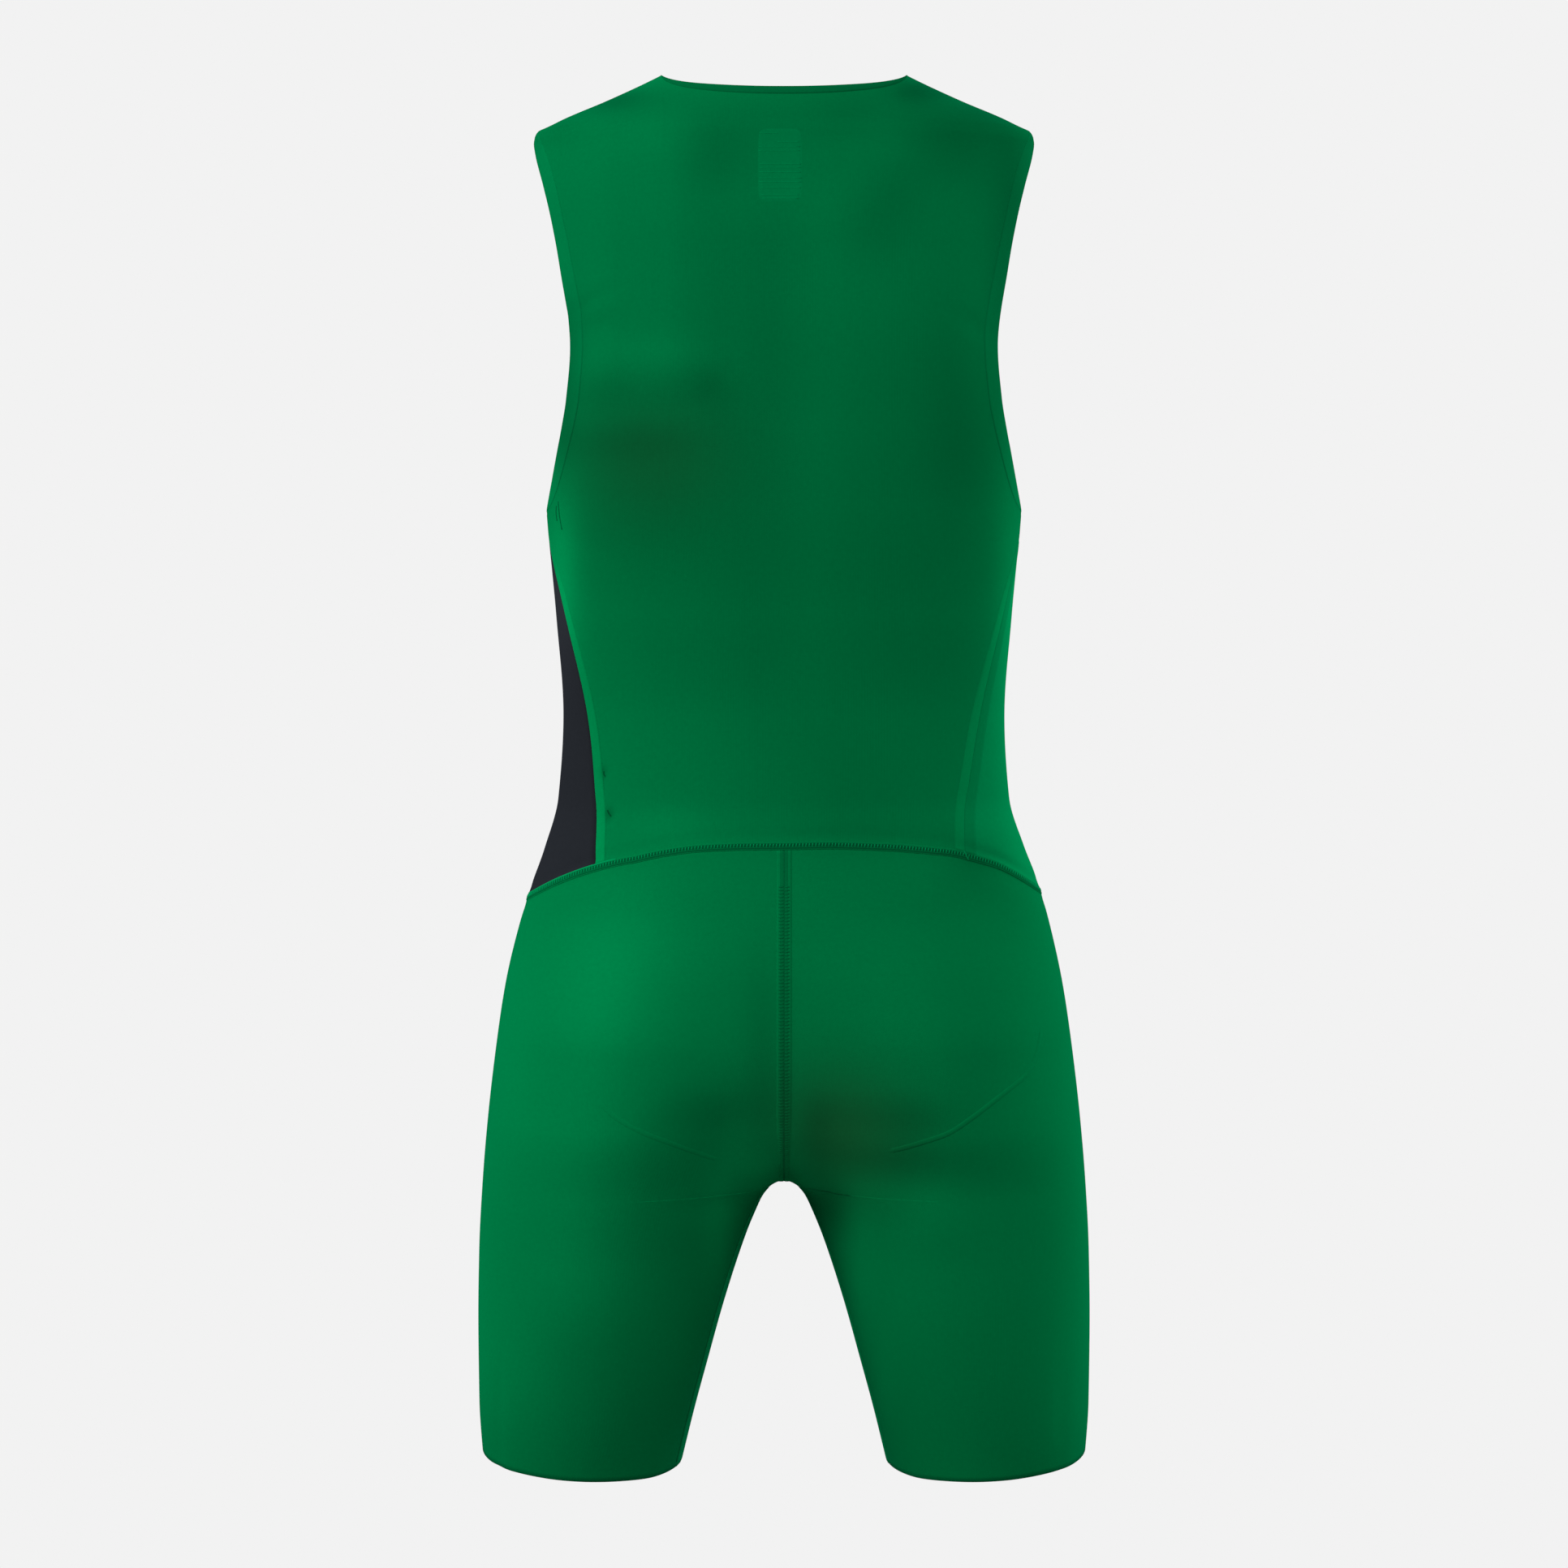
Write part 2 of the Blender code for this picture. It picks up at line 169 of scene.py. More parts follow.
INSEAM = Table(
    "z x",
    (-735, 5.3),
    (-738, 9),
    (-743.5, 13.6),
    (-754, 18.8),
    (-771, 25.7),
    (-814, 39.7),
    (-857, 51.6),
    (-889, 60.2),
    (-925, 69),
)


def smoothstep(low, high, value):
    t = np.clip((value - low) / (high - low), 0.0, 1.0)
    return t * t * (3 - 2 * t)


def hill(value, centre, width):
    return np.exp(-(((value - centre) / width) ** 2))


def width_share(x, z):
    """How far out a place lies, from 0 in the middle to 1 at the side of the torso."""
    return np.minimum(np.abs(x) / TORSO.at("half_width", z), 1.0)


def torso_y(back, x, z):
    """Depth of the torso at a width and height, on its back where back is true."""
    square = TORSO.at("square", z)
    round_off = (1 - width_share(x, z) ** square) ** (1 / square)
    return np.where(back, TORSO.at("back", z), -TORSO.at("front", z)) * round_off


def torso_x(angle, z):
    """Width of the torso at an angle from its centre back or centre front, in degrees."""
    share = np.sin(np.radians(angle)) ** (2 / TORSO.at("square", z))
    return TORSO.at("half_width", z) * share


def waist_seam_z(back, x, z):
    rise = np.where(back, SEAM_BACK_RISE, SEAM_FRONT_RISE)
    return SEAM_SIDE_Z + rise * (1 - width_share(x, z) ** SEAM_POWER)


def seam_z_at_angle(back, angle):
    z = SEAM_SIDE_Z + 0.0 * angle
    for _ in range(6):
        z = waist_seam_z(back, torso_x(angle, z), z)
    return z


def neck_z(face, x):
    share = np.minimum(np.abs(x) / NECK_HALF_WIDTH, 1.0)
    depth, power, rounding = NECK_SCOOP[face]
    return -depth * (1 - share**power) ** rounding


def side_seam_heights(face, rows):
    bottom = np.array(SEAM_SIDE_Z)
    for _ in range(20):
        bottom = seam_z_at_angle(face == "back", SIDE_SEAM.at("from_" + face, bottom))
    return CORNER_Z[face] + (float(bottom) - CORNER_Z[face]) * np.linspace(0, 1, rows + 1)


def bodice_grid(face, columns, armhole_rows, side_rows):
    """Points of a whole bodice, (row, column, xyz), from the wearer's right side to the left."""
    back = face == "back"
    # The rows lie closer together at both ends of the armhole
    rounds = 1 - (1 - np.linspace(0, 1, armhole_rows + 1) ** 1.5) ** 1.4
    rounds = np.sort(np.append(rounds, (0.0002, 0.0005)))
    armhole = SHOULDER_TIP_Z + (CORNER_Z[face] - SHOULDER_TIP_Z) * rounds
    side = side_seam_heights(face, side_rows)
    heights = np.append(armhole, side[1:])[:, None]
    parts = np.linspace(0, 1, columns + 1)[None, :]
    down = (heights - heights[0]) / (heights[-1] - heights[0])

    at_neck = parts < 0.5
    neck_x = NECK_HALF_WIDTH * np.sin(np.pi * np.minimum(parts, 0.5))
    shoulder_z = SHOULDER_TIP_Z * (2 * parts - 1)
    top_x = np.where(at_neck, neck_x, TORSO.at("half_width", shoulder_z))
    top_z = np.where(at_neck, neck_z(face, neck_x), shoulder_z)

    bottom_angle = SIDE_SEAM.at("from_" + face, side[-1])
    seam = seam_z_at_angle(back, bottom_angle * parts)
    edge_angle = SIDE_SEAM.at("from_" + face, heights)
    armhole_x = ARMHOLE.at(face + "_x", heights)
    edge_x = np.where(heights >= CORNER_Z[face], armhole_x, torso_x(edge_angle, heights))
    share = width_share(edge_x, heights)
    side_angle = np.degrees(np.arcsin(share ** (TORSO.at("square", heights) / 2)))
    by_angle = smoothstep(BY_WIDTH_Z, BY_ANGLE_Z, heights)

    z = heights + (top_z - SHOULDER_TIP_Z) * (1 - down) ** 4 + (seam - heights[-1]) * down**4
    by_width = edge_x * top_x / SHOULDER_TIP_X
    x = by_width + (torso_x(side_angle * parts, z) - by_width) * by_angle
    x[0] = top_x[0]
    x[:, -1] = edge_x[:, 0]
    y = torso_y(back, x, z)
    y[0] = np.where(at_neck[0], y[0], 0.0)
    half = np.stack([x, y, z], axis=2)
    other = half[:, :0:-1] * ACROSS
    return np.concatenate([other, half], axis=1)


def side_panel_angle(back_z, front_z, part):
    back_angle = SIDE_SEAM.at("from_back", back_z)
    front_angle = 180 - SIDE_SEAM.at("from_front", front_z)
    angle = back_angle + (front_angle - back_angle) * part
    return angle <= 90, np.where(angle <= 90, angle, 180 - angle)


def side_panel_grid(columns, rows):
    """Points of the left side panel, from its back seam to its front seam."""
    back_z = side_seam_heights("back", rows)[:, None]
    front_z = side_seam_heights("front", rows)[:, None]
    down = np.linspace(0, 1, rows + 1)[:, None]
    part = np.linspace(0, 1, columns + 1)[None, :]
    power = PANEL_TOP_POWER + (1 - PANEL_TOP_POWER) * down
    back, angle = side_panel_angle(back_z, front_z, part)
    seam = seam_z_at_angle(*side_panel_angle(back_z[-1:], front_z[-1:], part))
    straight = back_z[-1] + (front_z[-1] - back_z[-1]) * part
    z = back_z + (front_z - back_z) * part**power + (seam - straight) * down**2
    x = torso_x(angle, z)
    return np.stack([x, torso_y(back, x, z), z], axis=2)


def inner_quarter(z, depth, part):
    """Offsets of a leg's inner quarter: part goes from 0 at its inseam to 1 at its apex."""
    apex = LEG.at("apex", z)
    above = z > CROTCH_Z
    down = np.clip((RISE_TOP_Z - z) / (RISE_TOP_Z - CROTCH_Z), 0.0, 1.0)
    reach = CENTRE_DEPTH * (1 - down**RISE_POWER) ** (1 / RISE_POWER)
    joined = apex / np.sqrt(1 + CROTCH_BLEND * math.log(2) - reach**2)
    width = np.where(above, joined, apex - INSEAM.at("x", z))
    start = np.where(above, np.arctan2(reach, apex / width), 0.0)

    def merged(rho, angle):
        u = rho * np.cos(angle)
        v = rho * np.sin(angle)
        other = (2 * apex - width * u) / width
        near = np.exp(-(u * u + v * v) / CROTCH_BLEND) + np.exp(-(other**2 + v * v) / CROTCH_BLEND)
        return -CROTCH_BLEND * np.log(near)

    def radius(angle):
        low = np.full(angle.shape, 0.3)
        high = np.minimum(1.6, apex / width / np.maximum(np.cos(angle), 1e-6)) + 0 * angle
        for _ in range(40):
            middle = (low + high) / 2
            inside = merged(middle, angle) < 1
            low = np.where(inside, middle, low)
            high = np.where(inside, high, middle)
        return (low + high) / 2

    angle = start + (math.pi / 2 - start) * part
    over = radius(np.full(angle.shape, math.pi / 2)) - 1
    rho = radius(angle) - over * part**2
    x = apex - width * rho * np.cos(angle)
    return np.where((part == 0) & above, 0.0, x), depth * rho * np.sin(angle)


def outer_quarter(z, depth, part):
    """Offsets of a leg's outer quarter, for part from 0 at its apex to 1 at its side."""
    apex = LEG.at("apex", z)
    angle = math.pi / 2 * part
    x = apex + (LEG.at("outer", z) - apex) * np.sin(angle) ** (2 / LEG_SQUARE)
    return x, depth * np.maximum(np.cos(angle), 0.0) ** (2 / LEG_SQUARE)


def leg_point(z, turn):
    """A leg's section: turn is 0 at its centre back, 2 at its side and 4 at its centre front."""
    back = turn <= 2
    turn = np.where(back, turn, 4 - turn)
    sign = np.where(back, 1.0, -1.0)
    middle = LEG.at("middle", z)
    depth = np.where(back, LEG.at("back", z), LEG.at("front", z)) - sign * middle
    inner_x, inner_y = inner_quarter(z, depth, np.clip(turn, 0, 1))
    outer_x, outer_y = outer_quarter(z, depth, np.clip(turn - 1, 0, 1))
    inner = turn <= 1
    return np.where(inner, inner_x, outer_x), middle + sign * np.where(inner, inner_y, outer_y)


def waist_point(z, turn):
    """The torso's section at this height, with its points where a leg's section has them."""
    back = turn <= 2
    turn = np.where(back, turn, 4 - turn)
    apex = LEG.at("apex", z)
    square = TORSO.at("square", z)
    start = np.arcsin((apex / TORSO.at("half_width", z)) ** (square / 2))
    angle = start + (math.pi / 2 - start) * np.clip(turn - 1, 0, 1)
    x = np.where(turn <= 1, apex * turn, torso_x(np.degrees(angle), z))
    return x, torso_y(back, x, z)


def short_grid(turns, upper_rows, lower_rows):
    """Points of the left short and the number of its first row that is closed at the inseam."""
    turn = np.linspace(0, 4, turns + 1)[None, :]
    seam = np.full(turn.shape, SEAM_SIDE_Z)
    for _ in range(6):
        x, _y = waist_point(seam, turn)
        seam = waist_seam_z(turn <= 2, x, seam)
    near_top = 1 - (1 - np.linspace(0, 1, upper_rows + 1)) ** 1.5
    upper = SEAM_TOP_Z + (CROTCH_Z + 0.002 - SEAM_TOP_Z) * near_top
    lower = CROTCH_Z + (HEM_Z - CROTCH_Z) * np.linspace(0, 1, lower_rows + 1) ** 1.5
    level = np.append(upper, lower)[:, None]
    fade = np.maximum((level - SEAM_FADE_END) / (SEAM_TOP_Z - SEAM_FADE_END), 0.0)
    near_hem = smoothstep(CROTCH_Z, HEM_Z, level)
    around = math.pi * turn / 2
    z = level + (seam - SEAM_TOP_Z) * fade
    z = z - near_hem * (HEM_TILT * np.cos(around) + HEM_BACK_DIP * np.maximum(np.sin(around), 0.0))
    waist = smoothstep(RISE_TOP_Z, SEAM_SIDE_Z, z)
    leg_x, leg_y = leg_point(z, turn + 0 * z)
    waist_x, waist_y = waist_point(z, turn + 0 * z)
    x = leg_x + (waist_x - leg_x) * waist
    y = leg_y + (waist_y - leg_y) * waist
    return np.stack([x, y, z], axis=2), upper_rows + 1


def unit(vectors):
    return vectors / np.maximum(np.linalg.norm(vectors, axis=-1, keepdims=True), 1e-9)


def grid_normals(points, flip, closed_from=None):
    down = np.gradient(points, axis=0)
    along = np.gradient(points, axis=1)
    normals = unit(np.cross(along, down) if flip else np.cross(down, along))
    if closed_from is not None:
        ends = unit(normals[:, 0] + normals[:, -1])
        normals[closed_from:, 0] = ends[closed_from:]
        normals[closed_from:, -1] = ends[closed_from:]
        normals[:closed_from, [0, -1], 0] = 0.0
        normals = unit(normals)
    return normals


def spot(x, z, place, size):
    return hill(x, place[0], size[0]) * hill(z, place[1], size[1])


def relief(points):
    """How far the cloth stands out from the solids' plain form, in millimetres."""
    x, y, z = np.moveaxis(points, -1, 0)
    back = smoothstep(-10.0, 45.0, y)
    front = smoothstep(10.0, -45.0, y)
    out = np.zeros(x.shape)
    # Soft spread over the back: a low ledge at each blade, a shallow trough between
    inner = smoothstep(0.88, 0.66, width_share(x, z))
    beyond = np.hypot(np.maximum((74 - x) / 44, 0), np.maximum((-192 - z) / 42, 0))
    ledge = smoothstep(1, 0, beyond) * smoothstep(-15, -90, z)
    out += back * inner * 4.6 * ledge
    out += back * inner * 2.2 * spot(x, z, (-98, -135), (36, 75))
    out -= back * 2.0 * hill(x, 0, 30) * smoothstep(-60, -150, z) * smoothstep(-520, -420, z)
    # Hollows under the seat beside the centre seam
    under = smoothstep(-662, -694, z) * smoothstep(-764, -722, z)
    out -= back * 2.2 * under * smoothstep(-8, -30, x) * smoothstep(-120, -76, x)
    out -= back * 1.6 * under * smoothstep(20, 42, x) * smoothstep(98, 66, x)
    # The hem draws in a little; a faint upright crease runs up from it near each side
    out -= smoothstep(50.0, 78.0, np.abs(y)) * 3.5 * smoothstep(-845, -930, z) ** 1.5
    creases = hill(x, 186, 4.0) * smoothstep(-835, -870, z)
    creases += 0.7 * hill(x, -181, 5.0) * hill(z, -880, 38)
    out -= smoothstep(-30.0, 10.0, y) * 0.9 * creases
    out -= front * 1.1 * spot(x, z, (96, -850), (6, 46))
    out -= front * 0.9 * spot(x, z, (-108, -838), (7, 38))
    # The cloth dips on both sides of the waist seam, more over the hips
    rise = z - waist_seam_z(y > 0, x, z)
    hip = 1 + back * (2.6 * hill(x, -142, 17) + 1.0 * hill(x, 138, 12))
    out -= 0.4 * hip * hill(rise, 6.0, 4.0) + 0.3 * hill(rise, -6.0, 4.5)
    # A short drag crease in from each armhole
    out -= back * 0.9 * hill(x, 124, 15) * hill(z + 0.35 * (x - 124), -160, 6)
    out -= back * 0.5 * hill(x, -121, 13) * hill(z - 0.5 * (x + 121), -174, 7)
    # Dimples beside the left side seam and drag lines from the underarms, front and back
    dimples = spot(x, z, (116.8, -463), (2.6, 4.5)) + spot(x, z, (113.0, -489), (2.6, 3.5))
    out -= back * 0.9 * dimples
    slope = z - 0.55 * (np.abs(x) - 150)
    for height, deep, wide in ((-302, 0.9, 9), (-331, 0.6, 12)):
        drag = smoothstep(88, 132, np.abs(x)) * hill(slope, height, wide)
        out -= (front + 0.35 * back) * deep * drag * np.where(x > 0, 1.0, 0.75)
    # A shallow trough down the middle of the front
    out -= front * 1.6 * hill(x, 4, 26) * smoothstep(-150, -220, z) * smoothstep(-500, -420, z)
    return out


# Soft spots of painted light and painted shade on the back: x, z, half width, half height and
# change
PAINTED_LIGHT_SPOTS = (
    (-112, -38, 44, 42, -0.50), (-95, -12, 22, 10, -0.30), (-136, -31, 20, 11, -0.22),
    (150, -40, 16, 11, -0.16), (116, -22, 20, 9, -0.14), (84, -48, 28, 20, 0.10),
    (-66, -52, 24, 22, 0.10), (-160, -70, 18, 46, -0.12), (-49, -32, 30, 22, -0.18),
    (108, -26, 48, 15, -0.24), (44, -64, 22, 26, -0.15), (0, -43, 85, 30, -0.20),
    (13, -161, 28, 100, -0.10), (78, -198, 40, 18, 0.20), (122, -168, 16, 9, -0.10),
    (-146, -115, 15, 58, -0.22), (-59, -108, 22, 30, -0.14), (88, -273, 58, 46, -0.36),
    (44, -223, 20, 24, -0.06), (-114, -244, 24, 58, -0.17), (146, -332, 14, 66, 0.46),
    (-150, -341, 13, 72, 0.26), (-33, -478, 55, 45, -0.15), (-124, -518, 20, 18, -0.24),
    (112, -622, 38, 72, 0.26), (96, -554, 40, 45, 0.10), (134, -718, 36, 60, 0.20),
    (176, -646, 20, 60, 0.10), (-32, -656, 36, 44, -0.17), (13, -645, 14, 60, -0.20),
    (-69, -693, 46, 32, -0.28), (-59, -677, 45, 20, -0.08), (-75, -708, 40, 11, -0.20),
    (-114, -601, 34, 50, -0.12), (-149, -666, 26, 34, 0.08), (-101, -739, 44, 20, 0.10),
    (-29, -746, 13, 20, -0.52), (43, -684, 30, 28, -0.30), (12, -707, 27, 26, 0.56),
    (5, -718, 18, 10, 0.25), (40, -736, 17, 40, 0.24), (-144, -751, 30, 40, 0.09),
    (-104, -850, 52, 50, -0.22), (118, -842, 44, 40, -0.16), (-24, -702, 24, 24, -0.30),
    (102, -248, 50, 15, -0.22), (120, -218, 20, 13, -0.12), (46, -218, 14, 14, -0.14),
    (140, -180, 10, 30, -0.24), (-140, -165, 10, 36, -0.18), (-84, -20, 16, 10, -0.28),
    (109, -21, 18, 9, -0.16), (145, -222, 10, 40, -0.38), (-141, -218, 10, 30, -0.14),
    (-150, -100, 10, 48, -0.10), (-75, -92, 20, 24, -0.12), (75, -494, 28, 14, 0.12),
    (-20, -434, 34, 28, -0.08), (42, -786, 10, 50, 0.18), (-48, -800, 11, 55, 0.16),
    (-64, -872, 10, 45, 0.12), (136, -780, 26, 36, 0.10), (-172, -893, 28, 26, 0.10),
    (0, -733, 20, 8, 0.70), (-84, -683, 22, 11, -0.10), (-20, -680, 12, 20, -0.10),
    (-60, -745, 28, 12, -0.14), (-60, -500, 60, 9, -0.08), (113, -489, 2.6, 4.5, -0.30),
    (116.8, -463, 2.6, 5, -0.20),
)


def painted_light_and_shade(points):
    """Painted light and shade at a place, as a share that multiplies the knit's colour."""
    x, y, z = np.moveaxis(points, -1, 0)
    back = smoothstep(-25.0, 15.0, y)
    # Painted shade, darker towards the hems
    amount = -0.28 * smoothstep(-815, -925, z) ** 1.5
    for across, height, wide, tall, change in PAINTED_LIGHT_SPOTS:
        amount = amount + back * change * spot(x, z, (across, height), (wide, tall))
        # The front has the same spots, fainter
        mirrored = spot(x, z, (-across, height), (wide, tall))
        amount = amount + (1 - back) * 0.35 * change * mirrored
    return np.exp(amount)


def painted_shade_warmth(points):
    """A brown cast painted with the shade under the left blade and beside the centre seam."""
    x, y, z = np.moveaxis(points, -1, 0)
    brown = spot(x, z, (-36, -690), (40, 38)) + 0.5 * spot(x, z, (82, -262), (50, 36))
    return smoothstep(-25.0, 15.0, y) * brown


# Places on the back waist seam: x and how far up the cloth moves there
WAIST_SHIFT = (
    (-170, 4.2), (-141, 6.2), (-119, 4.6), (-98, 1.2), (-84, 0.2),
    (-56, -0.2), (-28, 0.2), (0, -0.3), (28, -0.6), (56, -1.4),
    (73, -2.6), (96, -4.4), (122, -3.2), (148, -1.2), (170, 0),
)


def settled(points):
    """Points with lower neck corners, squarer shoulder tips and seams as uneven as the photo's."""
    x, y, z = np.moveaxis(points, -1, 0)
    wide = np.abs(x)
    rise = z - waist_seam_z(y > 0, x, z)
    back = smoothstep(-50, 5, y)
    shift = np.interp(x, *np.transpose(WAIST_SHIFT))
    tip = spot(wide, z, (162.5, -43), (5, 5))
    moved = points.copy()
    moved[..., 0] += np.sign(x) * tip
    moved[..., 0] += 5.0 * back * spot(x, z, (-122, -508), (18, 55))
    moved[..., 2] += 1.3 * tip - 1.6 * hill(wide, 81, 32) * smoothstep(-60, -5, z)
    moved[..., 2] += back * shift * hill(rise, 0, 38) + 1.4 * spot(x, z, (0, -735), (20, 12))
    return moved


class Cloth:
    """A grid of points of the garment with their outward normals, in millimetres."""

    def __init__(self, points, flip, closed_from=None):
        normals = grid_normals(points, flip, closed_from)
        points = settled(points + normals * relief(points)[..., None])
        self.grid = np.stack([points, grid_normals(points, flip, closed_from)])
        self.points, self.normals = self.grid
        self.flip = flip
        self.closed_from = closed_from


panel_points = side_panel_grid(30, 130)
CLOTHS = {
    "back_bodice": Cloth(bodice_grid("back", 78, 105, 115), True),
    "front_bodice": Cloth(bodice_grid("front", 60, 80, 90), False),
    "side_panel_left": Cloth(panel_points, True),
    "side_panel_right": Cloth(panel_points * ACROSS, False),
}
short_points, FIRST_CLOSED = short_grid(208, 84, 76)
CLOTHS["short_left"] = Cloth(short_points, True, FIRST_CLOSED)
CLOTHS["short_right"] = Cloth(short_points * ACROSS, False, FIRST_CLOSED)


# Materials


def set_inputs(node, **values):
    """Sets inputs of a node; a low line in a name stands for a space."""
    for name, value in values.items():
        node.inputs[name.replace("_", " ")].default_value = value


def feed(tree, socket, value):
    """Links an output to a socket, or sets the socket to a colour or a number."""
    if hasattr(value, "is_output"):
        tree.links.new(value, socket)
    elif hasattr(value, "__len__"):
        socket.default_value = (*value, 1.0)
    else:
        socket.default_value = value


def mix_colour(tree, factor, first, second, blend="MIX"):
    node = tree.nodes.new("ShaderNodeMix")
    node.data_type = "RGBA"
    node.blend_type = blend
    for number, value in ((0, factor), (6, first), (7, second)):
        feed(tree, node.inputs[number], value)
    return node.outputs[2]


def math_node(tree, operation, *values):
    node = tree.nodes.new("ShaderNodeMath")
    node.operation = operation
    for socket, value in zip(node.inputs, values):
        feed(tree, socket, value)
    return node.outputs[0]


# Widths of one wale and one course of the knit, in metres
WALE = 0.75 * MM
COURSE = 0.6 * MM
# Red added for the brown cast painted with the shade
PAINTED_SHADE_RED = 0.0038
# Colours of the sheen
GREEN_TINT = (0.0, 1.0, 0.5)
NAVY_TINT = (0.7, 0.85, 1.0)


def knit_material(name, dark, light, sheen, roughness, bump=0.35, tint=GREEN_TINT):
    """Fine stretch knit: wales and courses in relief, soft mottling, a sheen at glancing angles,
    and painted light and shade with a brown cast of the painted shade, read from the mesh's
    attributes.
    """
    material = bpy.data.materials.new(name)
    material.use_nodes = True
    tree = material.node_tree
    shader = tree.nodes["Principled BSDF"]
    set_inputs(shader, Roughness=roughness, Specular_IOR_Level=0.0)
    set_inputs(shader, Sheen_Weight=sheen, Sheen_Roughness=0.45, Sheen_Tint=(*tint, 1.0))

    place = tree.nodes.new("ShaderNodeTexCoord")
    cloth = tree.nodes.new("ShaderNodeUVMap")
    cloth.uv_map = "cloth"
    parts = tree.nodes.new("ShaderNodeSeparateXYZ")
    tree.links.new(cloth.outputs["UV"], parts.inputs[0])
    wales = math_node(tree, "SINE", math_node(tree, "MULTIPLY", parts.outputs[0], math.tau / WALE))
    rows = math_node(tree, "SINE", math_node(tree, "MULTIPLY", parts.outputs[1], math.tau / COURSE))
    stitches = math_node(tree, "MULTIPLY_ADD", rows, 0.35, wales)

    broad, fine = (tree.nodes.new("ShaderNodeTexNoise") for _ in range(2))
    set_inputs(broad, Scale=5.0, Detail=2.0)
    set_inputs(fine, Scale=420.0, Detail=3.0)
    for noise in (broad, fine):
        tree.links.new(place.outputs["Object"], noise.inputs["Vector"])
    cloudy = mix_colour(tree, broad.outputs[0], dark, light)
    mottle = math_node(tree, "MULTIPLY_ADD", fine.outputs[0], 0.16, 0.92)
    # Painted light and shade, stored on the mesh, lightens or darkens the knit's colour
    level = tree.nodes.new("ShaderNodeAttribute")
    level.attribute_name = "painted_light_and_shade"
    knitted = math_node(tree, "MULTIPLY_ADD", stitches, 0.02, mottle)
    knitted = math_node(tree, "MULTIPLY", knitted, level.outputs["Fac"])
    colour = mix_colour(tree, 1.0, cloudy, knitted, "MULTIPLY")
    # The brown cast of the painted shade
    brown = tree.nodes.new("ShaderNodeAttribute")
    brown.attribute_name = "painted_shade_warmth"
    warm = tree.nodes.new("ShaderNodeCombineXYZ")
    tree.links.new(math_node(tree, "MULTIPLY", brown.outputs["Fac"], PAINTED_SHADE_RED), warm.inputs[0])
    colour = mix_colour(tree, 1.0, colour, warm.outputs[0], "ADD")
    tree.links.new(colour, shader.inputs["Base Color"])

    height = math_node(tree, "MULTIPLY_ADD", fine.outputs[0], 0.8, stitches)
    relief_node = tree.nodes.new("ShaderNodeBump")
    set_inputs(relief_node, Strength=bump, Distance=0.05 * MM)
    tree.links.new(height, relief_node.inputs["Height"])
    tree.links.new(relief_node.outputs[0], shader.inputs["Normal"])
    return material


GREEN = knit_material("green_knit", (0.0, 0.106, 0.030), (0.0, 0.120, 0.035), 0.03, 0.7)
# The inside face of the knit, drawn darker than the outside: painted shade inside the garment
GREEN_INSIDE_SHADED = knit_material(
    "green_knit_inside_painted_shade", (0.0, 0.075, 0.022), (0.0, 0.085, 0.025), 0.02, 0.8
)
GREEN_SIDE = knit_material("green_knit_side", (0.0, 0.142, 0.042), (0.0, 0.158, 0.048), 0.03, 0.65)
NAVY = knit_material(
    "navy_knit", (0.0105, 0.0120, 0.0150), (0.0125, 0.0143, 0.0176), 0.0, 0.7, tint=NAVY_TINT
)
NAVY_INSIDE_SHADED = knit_material(
    "navy_knit_inside_painted_shade", (0.008, 0.009, 0.011), (0.009, 0.0105, 0.013), 0.01, 0.8, tint=NAVY_TINT
)
# Lighter green: painted highlight on the inseam strips and on the fold at the waist seam
HIGHLIGHT_GREEN = knit_material("painted_highlight_edge", (0.0, 0.150, 0.045), (0.0, 0.165, 0.050), 0.04, 0.6, 0.15)
IMPRINT = knit_material("plain_imprint", (0.0, 0.120, 0.035), (0.0, 0.130, 0.039), 0.02, 0.5, 0.2)
IMPRINT_LINE = knit_material(
    "plain_imprint_line", (0.0, 0.134, 0.040), (0.0, 0.146, 0.044), 0.02, 0.5, 0.2
)
# Lighter green threads: painted highlight on the raised stitches and seam lines
THREAD = knit_material("green_thread", (0.0, 0.165, 0.050), (0.0, 0.205, 0.066), 0.04, 0.6, 0.6)
# Dark green: painted shade between and under the stitches and in small folds
THREAD_DARK = knit_material(
    "green_thread_shade", (0.0, 0.050, 0.015), (0.0, 0.062, 0.019), 0.01, 0.7, 0.6
)
# Deeper green: painted shade on the centre seam and in the line beside the left inseam; the neck
# bands are drawn in it too
THREAD_DEEP = knit_material(
    "deep_green_and_painted_shade", (0.0, 0.082, 0.024), (0.0, 0.094, 0.028), 0.01, 0.7, 0.6
)


# Meshes


def in_scene(name, data):
    thing = bpy.data.objects.new(name, data)
    bpy.context.scene.collection.objects.link(thing)
    return thing


def add_object(name, mesh, *materials):
    for material in materials:
        mesh.materials.append(material)
    mesh.shade_smooth()
    piece = in_scene(name, mesh)
    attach(piece, "root")
    return piece


